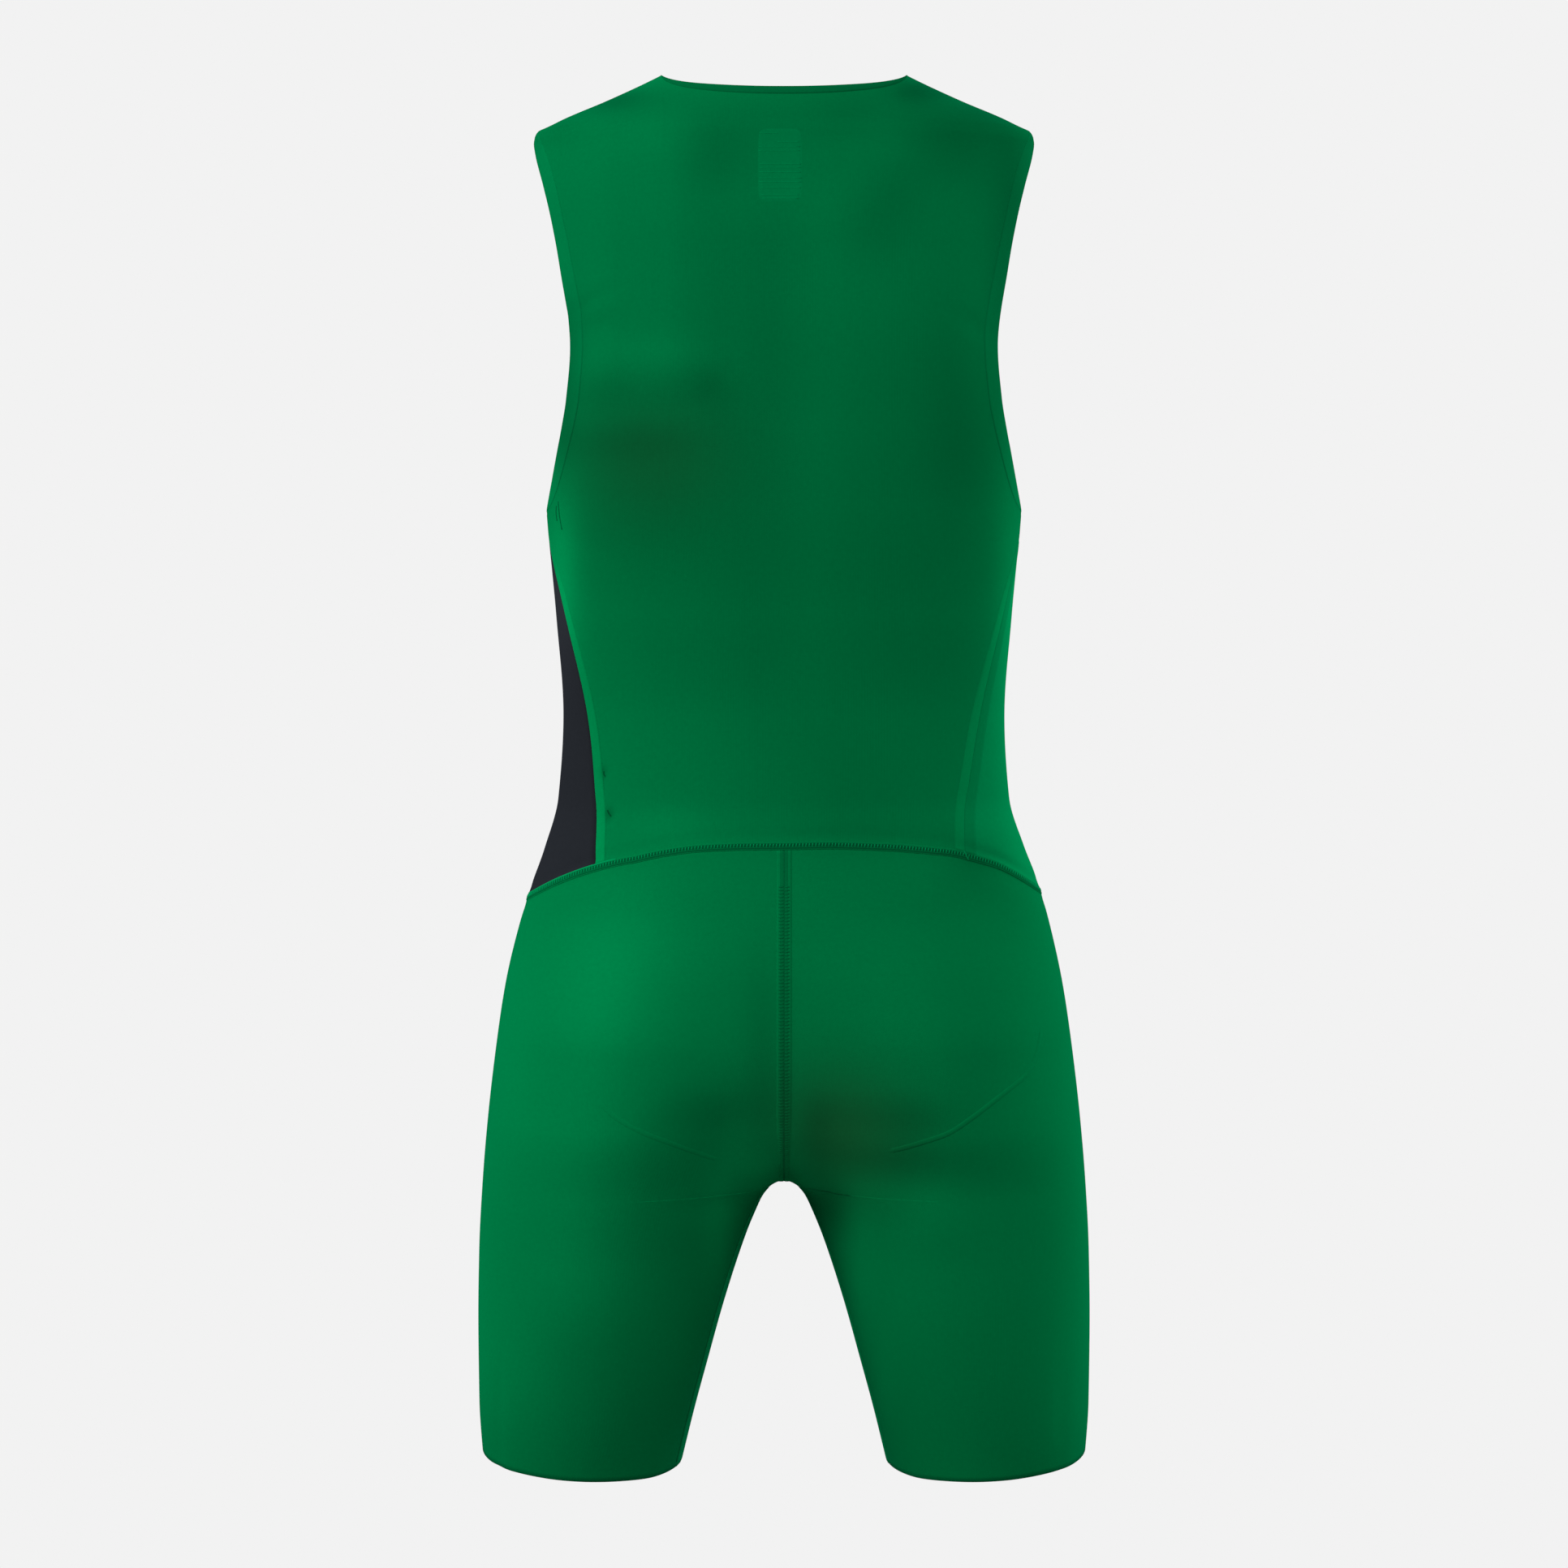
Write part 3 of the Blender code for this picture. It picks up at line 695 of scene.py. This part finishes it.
def mesh_of(name, points, faces, cloth_uv, pale=1.0):
    mesh = bpy.data.meshes.new(name)
    mesh.from_pydata((points * MM).tolist(), [], faces)
    layer = mesh.uv_layers.new(name="cloth")
    corners = np.empty(len(mesh.loops), np.int32)
    mesh.loops.foreach_get("vertex_index", corners)
    layer.data.foreach_set("uv", (cloth_uv[corners] * MM).astype(np.float32).ravel())
    # Painted light and shade and the brown cast of the painted shade, stored on the points
    for kind, values in (("painted_light_and_shade", painted_light_and_shade(points) * pale), ("painted_shade_warmth", painted_shade_warmth(points))):
        attribute = mesh.attributes.new(kind, "FLOAT", "POINT")
        attribute.data.foreach_set("value", values.astype(np.float32))
    return mesh


def grid_faces(index, flip):
    a, b, c, d = index[:-1, :-1], index[1:, :-1], index[1:, 1:], index[:-1, 1:]
    faces = np.stack([a, b, c, d] if not flip else [a, d, c, b], axis=2)
    return faces.reshape(-1, 4)


def arc_lengths(points, axis):
    steps = np.linalg.norm(np.diff(points, axis=axis), axis=2)
    zero = np.zeros_like(np.take(steps, [0], axis=axis))
    return np.concatenate([zero, np.cumsum(steps, axis=axis)], axis=axis)


# Thickness of the knit
SHELL = 0.8
GREEN_SLOT = "green_stretch_knit"
NAVY_SLOT = "navy_stretch_knit"
# Cut pieces: slot, outside, inside, then width, length and area laid flat, in metres; the inside is
# drawn darker as painted shade
CUT = {
    "back_bodice": (GREEN_SLOT, GREEN, GREEN_INSIDE_SHADED, 0.36, 0.53, 0.168),
    "front_bodice": (GREEN_SLOT, GREEN, GREEN_INSIDE_SHADED, 0.36, 0.50, 0.160),
    "side_panel_left": (NAVY_SLOT, NAVY, NAVY_INSIDE_SHADED, 0.13, 0.32, 0.026),
    "side_panel_right": (GREEN_SLOT, GREEN_SIDE, GREEN_INSIDE_SHADED, 0.13, 0.32, 0.026),
    "short_left": (GREEN_SLOT, GREEN, GREEN_INSIDE_SHADED, 0.60, 0.41, 0.203),
    "short_right": (GREEN_SLOT, GREEN, GREEN_INSIDE_SHADED, 0.60, 0.41, 0.203),
}


def make_cloth(node):
    cloth = CLOTHS[node]
    rows, columns = cloth.points.shape[:2]
    index = np.arange(rows * columns).reshape(rows, columns)
    if cloth.closed_from is not None:
        index[cloth.closed_from :, -1] = index[cloth.closed_from :, 0]
    along = arc_lengths(cloth.points, 1)
    middle = columns // 2
    uv = np.stack([along - along[:, middle : middle + 1], arc_lengths(cloth.points, 0)], 2)
    used, faces = np.unique(grid_faces(index, cloth.flip), return_inverse=True)
    faces = faces.reshape(-1, 4)
    mesh = mesh_of(
        node + "_cloth", cloth.points.reshape(-1, 3)[used], faces.tolist(), uv.reshape(-1, 2)[used]
    )
    slot, outside, inside, width, length, area = CUT[node]
    piece = add_object(node + "_cloth", mesh, outside, inside)
    wall = piece.modifiers.new("wall", "SOLIDIFY")
    wall.thickness = SHELL * MM
    wall.offset = -1.0
    wall.material_offset = 1
    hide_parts(node)


for node_name in CUT:
    make_cloth(node_name)


# Seams, bonded edges and marks, laid on the cloth


def tangents_of(path, closed):
    if closed:
        return unit(np.roll(path, -1, axis=0) - np.roll(path, 1, axis=0))
    return unit(np.gradient(path, axis=0))


def run_along(path):
    return np.append(0.0, np.cumsum(np.linalg.norm(np.diff(path, axis=0), axis=1)))


def read_along(places, run, values):
    return np.stack([np.interp(places, run, values[:, k]) for k in range(3)], 1)


def resample(path, normals, step, closed=False):
    """The path and its normals at even steps along its length."""
    if closed:
        path = np.concatenate([path, path[:1]])
        normals = np.concatenate([normals, normals[:1]])
    keep = np.append(True, np.linalg.norm(np.diff(path, axis=0), axis=1) > 1e-3)
    path, normals = path[keep], normals[keep]
    run = run_along(path)
    count = max(int(round(run[-1] / step)), 2)
    places = np.linspace(0, run[-1], count + 1)
    if closed:
        places = places[:-1]
    return read_along(places, run, path), unit(read_along(places, run, normals))


def strip_faces(rows, columns, closed_rows):
    """Faces of a tube of rows of points; each row is a closed loop, and open ends are capped."""
    index = np.arange(rows * columns).reshape(rows, columns)
    around = np.concatenate([index, index[:, :1]], axis=1)
    if closed_rows:
        around = np.concatenate([around, around[:1]], axis=0)
    faces = grid_faces(around, False).tolist()
    if not closed_rows:
        faces.append(index[0].tolist())
        faces.append(index[-1][::-1].tolist())
    return faces


def sweep(path, normals, profile, closed=False):
    """A strip along a path: profile is a loop of (across, height) round its section."""
    tangents = tangents_of(path, closed)
    across = unit(np.cross(normals, tangents))
    loop = np.array(profile, float)
    points = path[:, None] + across[:, None] * loop[:, :1] + normals[:, None] * loop[:, 1:]
    uv = np.stack(np.broadcast_arrays(loop[None, :, 0], run_along(path)[:, None]), 2)
    return points.reshape(-1, 3), strip_faces(len(path), len(loop), closed), uv.reshape(-1, 2)


# Section and length of one raised thread, as shares of its half width and half length
RUNG_ALONG = ((-1.0, -0.35), (-0.55, 0.75), (0.55, 0.75), (1.0, -0.35))
RUNG_ACROSS = ((-1.12, -1.2), (-0.9, 0.6), (0.0, 1.0), (0.9, 0.6), (1.12, -1.2))


def rungs(path, normals, start, end, half_wide, height, base, slant=0.0, closed=False):
    """Short threads across a path, one at each of its points, from start to end across it."""
    tangents = tangents_of(path, closed)
    across = unit(np.cross(normals, tangents))
    middle, half = (start + end) / 2, (end - start) / 2
    points, uv = [], []
    for side, side_rise in RUNG_ACROSS:
        for forward, rise in RUNG_ALONG:
            aside = across * (middle + half * side)
            ahead = tangents * (half_wide * forward + slant * side)
            points.append(path + aside + ahead + normals * (base + height * min(rise, side_rise)))
            uv.append((side * half, forward * half_wide))
    points = np.stack(points, axis=1)
    one = grid_faces(np.arange(20).reshape(5, 4), True)
    faces = (one[None] + (np.arange(len(path)) * 20)[:, None, None]).reshape(-1, 4)
    return points.reshape(-1, 3), faces.tolist(), np.tile(uv, (len(path), 1))


def joined(*shapes):
    points, faces, uvs, start = [], [], [], 0
    for shape_points, shape_faces, shape_uv in shapes:
        points.append(shape_points)
        faces += [[corner + start for corner in face] for face in shape_faces]
        uvs.append(shape_uv)
        start += len(shape_points)
    return np.concatenate(points), faces, np.concatenate(uvs)


def add_seam(name, material, *shapes, pale=lambda points: 1.0):
    points, faces, uv = joined(*shapes)
    piece = add_object(name, mesh_of(name, points, faces, uv, pale(points)), material)


def ridge(half_width, height, depth=0.35, flat=0.55):
    """Loop of a low domed strip whose underside is sunk into the cloth."""
    top = ((1.0, 0.35), (0.8, 0.8), (flat / 2, 1.0), (-flat / 2, 1.0), (-0.8, 0.8), (-1.0, 0.35))
    loop = [(half_width * a, height * h) for a, h in top]
    return [(half_width, -depth)] + loop + [(-half_width, -depth)]


def line(at, half_width, height, depth=0.3):
    return [(at + a, h) for a, h in ridge(half_width, height, depth)]


def waist_path():
    ways = {"back_bodice": 1, "side_panel_left": 1, "front_bodice": -1, "side_panel_right": -1}
    edges = [CLOTHS[node].grid[:, -1, ::way] for node, way in ways.items()]
    path, normals = resample(*np.concatenate(edges, axis=1), 1.0, closed=True)
    for _ in range(6):
        normals = unit(np.roll(normals, 1, axis=0) + 2 * normals + np.roll(normals, -1, axis=0))
        path = (np.roll(path, 1, axis=0) + 2 * path + np.roll(path, -1, axis=0)) / 4
    return path, normals


WAIST_STITCH = 2.1
CENTRE_STITCH = 2.2


def make_waist_seam():
    """A cover-stitched tape: a bed of painted shade, a row of short threads with a painted
    highlight and a line on each side.
    """
    path, normals = waist_path()
    half = path[::2], normals[::2]
    add_seam("waist_seam_tape", GREEN, sweep(*half, ridge(2.7, 0.22), True))
    # A bed of painted shade under the threads
    add_seam("waist_seam_shade_bed", THREAD_DARK, sweep(*half, line(-0.3, 1.45, 0.28), True))
    stitch_path, stitch_normals = resample(path, normals, WAIST_STITCH, closed=True)
    threads = rungs(stitch_path, stitch_normals, -1.35, 0.85, 0.36, 0.34, 0.28, 0.2, True)
    add_seam("waist_seam_stitches", THREAD, threads)
    # The line above the stitches, a painted highlight, shows only beside the left side panel
    beside = path[:, 0] > 108
    upper = sweep(path[beside][::2], normals[beside][::2], line(-2.3, 0.45, 0.3))
    add_seam("waist_seam_upper_line", THREAD, upper)
    # The dark line below the stitches is painted shade under the tape
    lower = sweep(*half, line(1.6, 0.55, 0.3), True)
    add_seam("waist_seam_lower_line", THREAD_DARK, lower)
    # A short slanting fold where the right side seam runs into the tape, drawn with a painted
    # highlight
    corner = CLOTHS["back_bodice"].points[-1, 0]
    near = int(np.argmin(np.linalg.norm(path - corner, axis=1)))
    forward = tangents_of(path, True)[near]
    down = unit(np.cross(normals[near], forward))
    along = np.linspace(-2.6, 2.8, 7)[:, None]
    fold = path[near] + down * along - forward * 0.7 * along
    outwards = np.tile(normals[near], (len(fold), 1))
    add_seam("waist_seam_fold", HIGHLIGHT_GREEN, sweep(fold, outwards, line(0.0, 0.45, 0.7)))


def centre_path():
    """Down the centre back, under the crotch and up the centre front."""
    grid = CLOTHS["short_left"].grid[:, :FIRST_CLOSED]
    both = np.concatenate([grid[:, :, 0], grid[:, ::-1, -1]], axis=1)
    points, normals = both * np.array([0.0, 1.0, 1.0])
    return resample(points, unit(normals), 1.0)


def make_centre_seam():
    """A broad tape and two rows of short threads on a bed, all but the tape drawn darker as painted
    shade, and a dark line between them.
    """
    path, normals = centre_path()
    path, normals = path[3:-3], normals[3:-3]
    half = path[::2], normals[::2]
    add_seam("centre_seam_tape", GREEN, sweep(*half, ridge(4.8, 0.35, flat=1.2)))
    add_seam("centre_seam_shade_bed", THREAD_DEEP, sweep(*half, line(0.0, 3.6, 0.42)))
    stitch_path, stitch_normals = resample(path[24:-24], normals[24:-24], CENTRE_STITCH)
    light = rungs(stitch_path, stitch_normals, -3.4, -0.4, 0.5, 0.36, 0.42)
    shaded = rungs(stitch_path, stitch_normals, 0.4, 3.4, 0.5, 0.36, 0.42)
    add_seam("centre_seam_stitches", THREAD_DEEP, light)
    add_seam("centre_seam_stitches_shade", THREAD_DEEP, shaded)
    # The dark line down the middle is painted shade between the rows
    add_seam("centre_seam_line", THREAD_DARK, sweep(*half, line(0.0, 0.3, 0.5)))


def inwards(grid, distances):
    """Points and normals at distances along each row of a grid, from its first column."""
    run = arc_lengths(grid[0], 1)
    distances = np.broadcast_to(distances, (len(run), np.shape(distances)[-1]))
    points, normals = (
        np.stack([read_along(*row) for row in zip(distances, run, values)]) for values in grid
    )
    return points, unit(normals)


def edge_band(grid, width, height, start=0.2):
    """A thin flat strip along the first column of a grid, lying on the cloth."""
    width = np.broadcast_to(width, grid.shape[1])
    near = start + 0 * width
    distances = np.stack([near, near + 0.5, width * 0.5, width - 1.6, width], 1)
    base, out = inwards(grid, distances)
    heights = np.array([0.5, 1.0, 1.0, 1.0, 0.2]) * height
    top = base + out * heights[None, :, None]
    under = (base - out * 0.3)[:, [-1, 0]]
    loop = np.concatenate([top, under], axis=1)
    across = np.concatenate([distances, distances[:, [-1, 0]]], axis=1)
    uv = np.stack(np.broadcast_arrays(across, run_along(base[:, 0])[:, None]), 2)
    rows, columns = loop.shape[:2]
    return loop.reshape(-1, 3), strip_faces(rows, columns, False), uv.reshape(-1, 2)


def mirrored_shape(shape):
    points, faces, uv = shape
    return points * ACROSS, [face[::-1] for face in faces], uv


# Widths of the bonded bands and strips
ARMHOLE_BAND = 14.0
FRONT_STRIP = 8.0
BACK_STRIP = 7.5
NECK_BAND = 7.0
PANEL_BAND = 8.5
PANEL_STRIP = 9.0
LEFT_INSEAM = 25.0
RIGHT_INSEAM = 16.0


def pale_towards_waist(points):
    """Pales the strips beside the back side seams towards the waist, the left one most."""
    x, _y, z = points.T
    low = np.where(x > 0, 0.12, -0.06) * smoothstep(-430, -505, z)
    return 1 + 0.28 * smoothstep(-310, -370, z) + low


def make_bodice_edges():
    """Bands round the armholes and the neck, and strips down the bodices' side seams."""
    arms, necks, strips, plain = [], [], [], []
    for face in ("back", "front"):
        cloth = CLOTHS[face + "_bodice"]
        side = np.flatnonzero(cloth.points[:, -1, 2] < CORNER_Z[face] + 0.01)
        arm, below = slice(3, side[0] + 1), side[1:-1]
        for way in (1, -1):
            grid = cloth.grid[:, :, ::way]
            if face == "front":
                near_corner = smoothstep(-218.0, CORNER_Z[face], grid[0, arm, 0, 2])
                width = ARMHOLE_BAND + (FRONT_STRIP - ARMHOLE_BAND) * near_corner
                plain.append(edge_band(grid[:, below], FRONT_STRIP, 0.3, 0.1))
            else:
                width = ARMHOLE_BAND
                strips.append(edge_band(grid[:, below], BACK_STRIP, 0.16, 0.1))
            arms.append(edge_band(grid[:, arm], width, 0.12))
        neck = np.flatnonzero(np.abs(cloth.points[0, :, 0]) < NECK_HALF_WIDTH - 0.5)
        necks.append(edge_band(cloth.grid.transpose(0, 2, 1, 3)[:, neck], NECK_BAND, 0.2))
    add_seam("armhole_edges", IMPRINT, *arms)
    # The neck bands are drawn in the same deeper green
    add_seam("neck_edges", THREAD_DEEP, *necks)
    panel = CLOTHS["side_panel_right"].grid
    plain.append(edge_band(panel[:, 12:-1], PANEL_STRIP, 0.2, 0.1))
    add_seam("side_seam_strips", IMPRINT, *plain)
    add_seam("back_seam_strips", GREEN, *strips, pale=pale_towards_waist)


def make_panel_edges():
    """The armhole's band goes on along the top of each side panel."""
    for name in ("side_panel_left", "side_panel_right"):
        slot, outside = CUT[name][:2]
        grid = CLOTHS[name].grid.transpose(0, 2, 1, 3)
        shape = edge_band(grid[:, 1:-2], PANEL_BAND, 0.2)
        piece = add_object(name + "_edge", mesh_of(name + "_edge", *shape), outside)


def make_shoulder_seams():
    """A low narrow ridge with two threads along each shoulder, from the neck to the armhole; the
    threads carry a painted highlight.
    """
    cloth = CLOTHS["back_bodice"]
    along = np.flatnonzero(cloth.points[0, :, 0] > NECK_HALF_WIDTH + 1.5)[:-1]
    normals = unit(cloth.normals[0, along] * np.array([1.0, 0.15, 1.0]))
    path, normals = resample(cloth.points[0, along], normals, 2.0)
    ridges = sweep(path, normals, ridge(2.6, 0.2))
    lines = [sweep(path, normals, line(at, 0.35, 0.3)) for at in (-1.6, 1.6)]
    add_seam("shoulder_seams", GREEN, ridges, mirrored_shape(ridges))
    add_seam("shoulder_seam_threads", THREAD, *lines, *[mirrored_shape(shape) for shape in lines])


def make_inseams():
    """A thin strip along each bonded inseam with a painted highlight, the left one with a line of
    painted shade behind it.
    """
    legs = [CLOTHS[node].grid[:, FIRST_CLOSED + 6 :] for node in ("short_left", "short_right")]
    strips = edge_band(legs[0], LEFT_INSEAM, 0.25), edge_band(legs[1], RIGHT_INSEAM, 0.25)
    add_seam("inseam_strips", HIGHLIGHT_GREEN, *strips)
    path, out = inwards(legs[0], [LEFT_INSEAM + 1.6])
    shade = sweep(path[:-1, 0], out[:-1, 0], line(0.0, 1.3, 0.12))
    add_seam("inseam_shade", THREAD_DEEP, shade)


def laid(cloth, x, z):
    """Points and normals on the back of a cloth at widths and heights."""
    grid = cloth.grid.reshape(2, -1, 3)
    points, normals = grid[:, grid[0, :, 1] > 0]
    found = []
    for across, height in zip(np.ravel(x), np.ravel(z)):
        aside, above = across - points[:, 0], height - points[:, 2]
        near = np.argpartition(aside**2 + above**2, 4)[:4]
        weight = 1 / (aside[near] ** 2 + above[near] ** 2 + 0.2)
        weight = weight / weight.sum()
        normal = normals[near]
        steep = np.maximum(normal[:, 1], 0.15)
        fall = (aside[near] * normal[:, 0] + above[near] * normal[:, 2]) / steep
        depth = (weight * (points[near, 1] - fall)).sum()
        found.append(np.concatenate([(across, depth, height), weight @ normal]))
    found = np.array(found)
    return found[:, :3], unit(found[:, 3:])


# Points of the arcs along the seat pad's edge: x and z
PAD_RIGHT = (
    (-167, -615), (-165, -633), (-158, -653), (-140, -665),
    (-125, -676), (-105, -690), (-75, -700), (-54, -705),
)
PAD_LEFT = (
    (125, -659), (110, -678), (93, -688),
    (76, -695), (44, -708), (28, -714),
)
# Section of the pad's edge: shares of its half width and of its height
PAD_SECTION = ((1, 0), (0.6, 0.55), (0.2, 1), (-0.2, 1), (-0.6, 0.55), (-1, 0))
PAD_EDGE_HALF = 1.7


def make_pad_outline():
    """Two arcs: the faint edge of the seat pad under the knit."""
    shapes = []
    for node, corners, height in (("short_right", PAD_RIGHT, 0.22), ("short_left", PAD_LEFT, 0.14)):
        corners = np.array(corners, float)
        run = run_along(corners)
        places = np.arange(0, run[-1], 3.0)
        x = np.interp(places, run, corners[:, 0])
        z = np.interp(places, run, corners[:, 1])
        for _ in range(6):
            x[1:-1] = (x[:-2] + 2 * x[1:-1] + x[2:]) / 4
            z[1:-1] = (z[:-2] + 2 * z[1:-1] + z[2:]) / 4
        path, normals = laid(CLOTHS[node], x, z)
        outline = [(PAD_EDGE_HALF * across, height * up - 0.03) for across, up in PAD_SECTION]
        outline = [(PAD_EDGE_HALF, -0.3)] + outline + [(-PAD_EDGE_HALF, -0.3)]
        strip_points, faces, uv = sweep(path, normals, outline)
        count = np.arange(len(path))
        ends = np.minimum(count, count[::-1]) / 5.0
        sunk = 0.5 * np.repeat(np.clip(1 - ends, 0, 1), len(outline))[:, None]
        shapes.append((strip_points - np.repeat(normals, len(outline), 0) * sunk, faces, uv))
    add_seam("seat_pad_outline", GREEN, *shapes)


# Ends of the small folds: x and z
SMALL_FOLDS = (
    ((148.8, -288.5), (148.4, -298)),
    ((147.4, -285.5), (144.9, -304)),
    ((117.1, -461.4), (116.1, -465)),
    ((114.6, -486.5), (111.9, -490.7)),
)


def make_small_folds():
    shapes = []
    for start, end in SMALL_FOLDS:
        share = np.linspace(0, 1, 12)
        x, z = (a + (b - a) * share for a, b in zip(start, end))
        path, normals = laid(CLOTHS["back_bodice"], x + 0.4 * np.sin(math.pi * share), z)
        shapes.append(sweep(path, normals, line(0.0, 0.55, 0.14)))
    # The folds are drawn dark: painted shade in the creases
    add_seam("small_folds", THREAD_DARK, *shapes)


# The imprint: its middle, half sizes, half sizes of its weave, and its bars as shares
IMPRINT_X, IMPRINT_Z = 2.6, -73.0
IMPRINT_WIDE, IMPRINT_TALL = 14.3, 24.8
WEAVE_WIDE, WEAVE_TALL = 14.8, 25.6
IMPRINT_BARS = (
    (0.86, -0.92, -0.1), (0.62, -0.1, 0.86), (0.49, -0.95, 0.9),
    (0.38, -0.95, 0.9), (0.02, -0.9, 0.94), (-0.08, -0.9, 0.92),
    (-0.2, -0.92, 0.94), (-0.36, -0.94, 0.95), (-0.46, -0.94, 0.95),
    (-0.62, -0.9, 0.92), (-0.8, -0.86, 0.85), (-0.9, -0.8, 0.84),
)


def make_imprint():
    """A plain pale block with round corners below the neck, and plain bars on it."""
    cloth = CLOTHS["back_bodice"]
    across, down = np.meshgrid(np.linspace(-1, 1, 17), np.linspace(1, -1, 27))
    pull = 1 - 0.09 * np.minimum(np.abs(across), np.abs(down)) ** 6
    x = IMPRINT_X + IMPRINT_WIDE * across * pull
    z = IMPRINT_Z + IMPRINT_TALL * down * pull
    points, normals = laid(cloth, x, z)
    edge = (np.maximum(np.abs(across), np.abs(down)) > 0.999).ravel()
    points = points + normals * np.where(edge, -0.05, 0.14)[:, None]
    index = np.arange(points.shape[0]).reshape(across.shape)
    uv = np.stack([WEAVE_WIDE * across.ravel(), WEAVE_TALL * down.ravel()], 1)
    add_seam("neck_imprint", IMPRINT, (points, grid_faces(index, False).tolist(), uv))
    bars = []
    for height, left, right in IMPRINT_BARS:
        x = IMPRINT_X - IMPRINT_WIDE * np.linspace(left, right, 12)
        path, normals = laid(cloth, x, np.full(12, IMPRINT_Z + IMPRINT_TALL * height))
        bars.append(sweep(path, normals, line(0.0, 0.3, 0.24)))
    add_seam("neck_imprint_bars", IMPRINT_LINE, *bars)


make_waist_seam()
make_centre_seam()
make_panel_edges()
make_bodice_edges()
make_shoulder_seams()
make_inseams()
make_pad_outline()
make_small_folds()
make_imprint()


# Stage, light and camera


PALE = (0.888, 0.888, 0.888, 1.0)
FLOOR_Z = -1.12
ROOM_RADIUS = 6.0


def make_room():
    """A pale floor that turns up into pale walls and closes overhead, seen but casting no light."""
    mesh = bpy.data.meshes.new("pale_room")
    shape = bmesh.new()
    bmesh.ops.create_uvsphere(shape, u_segments=64, v_segments=32, radius=ROOM_RADIUS)
    for vert in shape.verts:
        vert.co.z = max(vert.co.z, FLOOR_Z)
    shape.to_mesh(mesh)
    shape.free()
    mesh.shade_smooth()
    room = in_scene("pale_room", mesh)
    room.visible_diffuse = False
    room.visible_glossy = False
    room.visible_transmission = False
    room.visible_shadow = False
    material = bpy.data.materials.new("pale_room")
    material.use_nodes = True
    shader = material.node_tree.nodes["Principled BSDF"]
    set_inputs(shader, Base_Color=(0.0, 0.0, 0.0, 1.0), Specular_IOR_Level=0.0)
    set_inputs(shader, Emission_Color=PALE, Emission_Strength=1.0)
    mesh.materials.append(material)


LIGHT_BELOW = 0.12
LIGHT_ABOVE = 1.60


def make_world():
    """Soft light from all round, bright overhead and dim from below."""
    world = bpy.data.worlds.new("pale_room")
    world.use_nodes = True
    tree = world.node_tree
    background = tree.nodes["Background"]
    place = tree.nodes.new("ShaderNodeTexCoord")
    parts = tree.nodes.new("ShaderNodeSeparateXYZ")
    tree.links.new(place.outputs["Generated"], parts.inputs[0])
    level = tree.nodes.new("ShaderNodeMapRange")
    level.interpolation_type = "SMOOTHSTEP"
    set_inputs(level, From_Min=-0.6, From_Max=0.6, To_Min=LIGHT_BELOW, To_Max=LIGHT_ABOVE)
    tree.links.new(parts.outputs[2], level.inputs["Value"])
    set_inputs(background, Color=(1.0, 1.0, 1.0, 1.0))
    tree.links.new(level.outputs[0], background.inputs["Strength"])
    bpy.context.scene.world = world


def add_sun(name, strength, towards, spread):
    """A soft light from a direction: towards points from the garment to the light."""
    data = bpy.data.lights.new(name, "SUN")
    data.energy = strength
    data.angle = math.radians(spread)
    light = in_scene(name, data)
    light.rotation_mode = "QUATERNION"
    light.rotation_quaternion = Vector(towards).to_track_quat("Z", "Y")


CAMERA_PLACE = (0.0, 2.3, -0.40)
CAMERA_AIM = (0.0, 0.0, -0.4357)
CAMERA_LENS = 79.36
CAMERA_SHIFT = -0.0342


def make_camera():
    """The photo's view: from behind, a little above the middle of the suit."""
    data = bpy.data.cameras.new("camera")
    data.sensor_width = 36.0
    data.lens = CAMERA_LENS
    data.shift_y = CAMERA_SHIFT
    data.dof.use_dof = False
    camera = in_scene("camera", data)
    camera.location = CAMERA_PLACE
    camera.rotation_mode = "QUATERNION"
    aim = Vector(CAMERA_AIM) - Vector(CAMERA_PLACE)
    camera.rotation_quaternion = aim.to_track_quat("-Z", "Y")
    bpy.context.scene.camera = camera


make_room()
make_world()
add_sun("left_light", 2.2, (1.0, 0.35, 0.25), 45)
add_sun("right_light", 2.0, (-0.88, -0.45, 0.15), 45)
make_camera()
bpy.context.scene.view_settings.view_transform = "Standard"
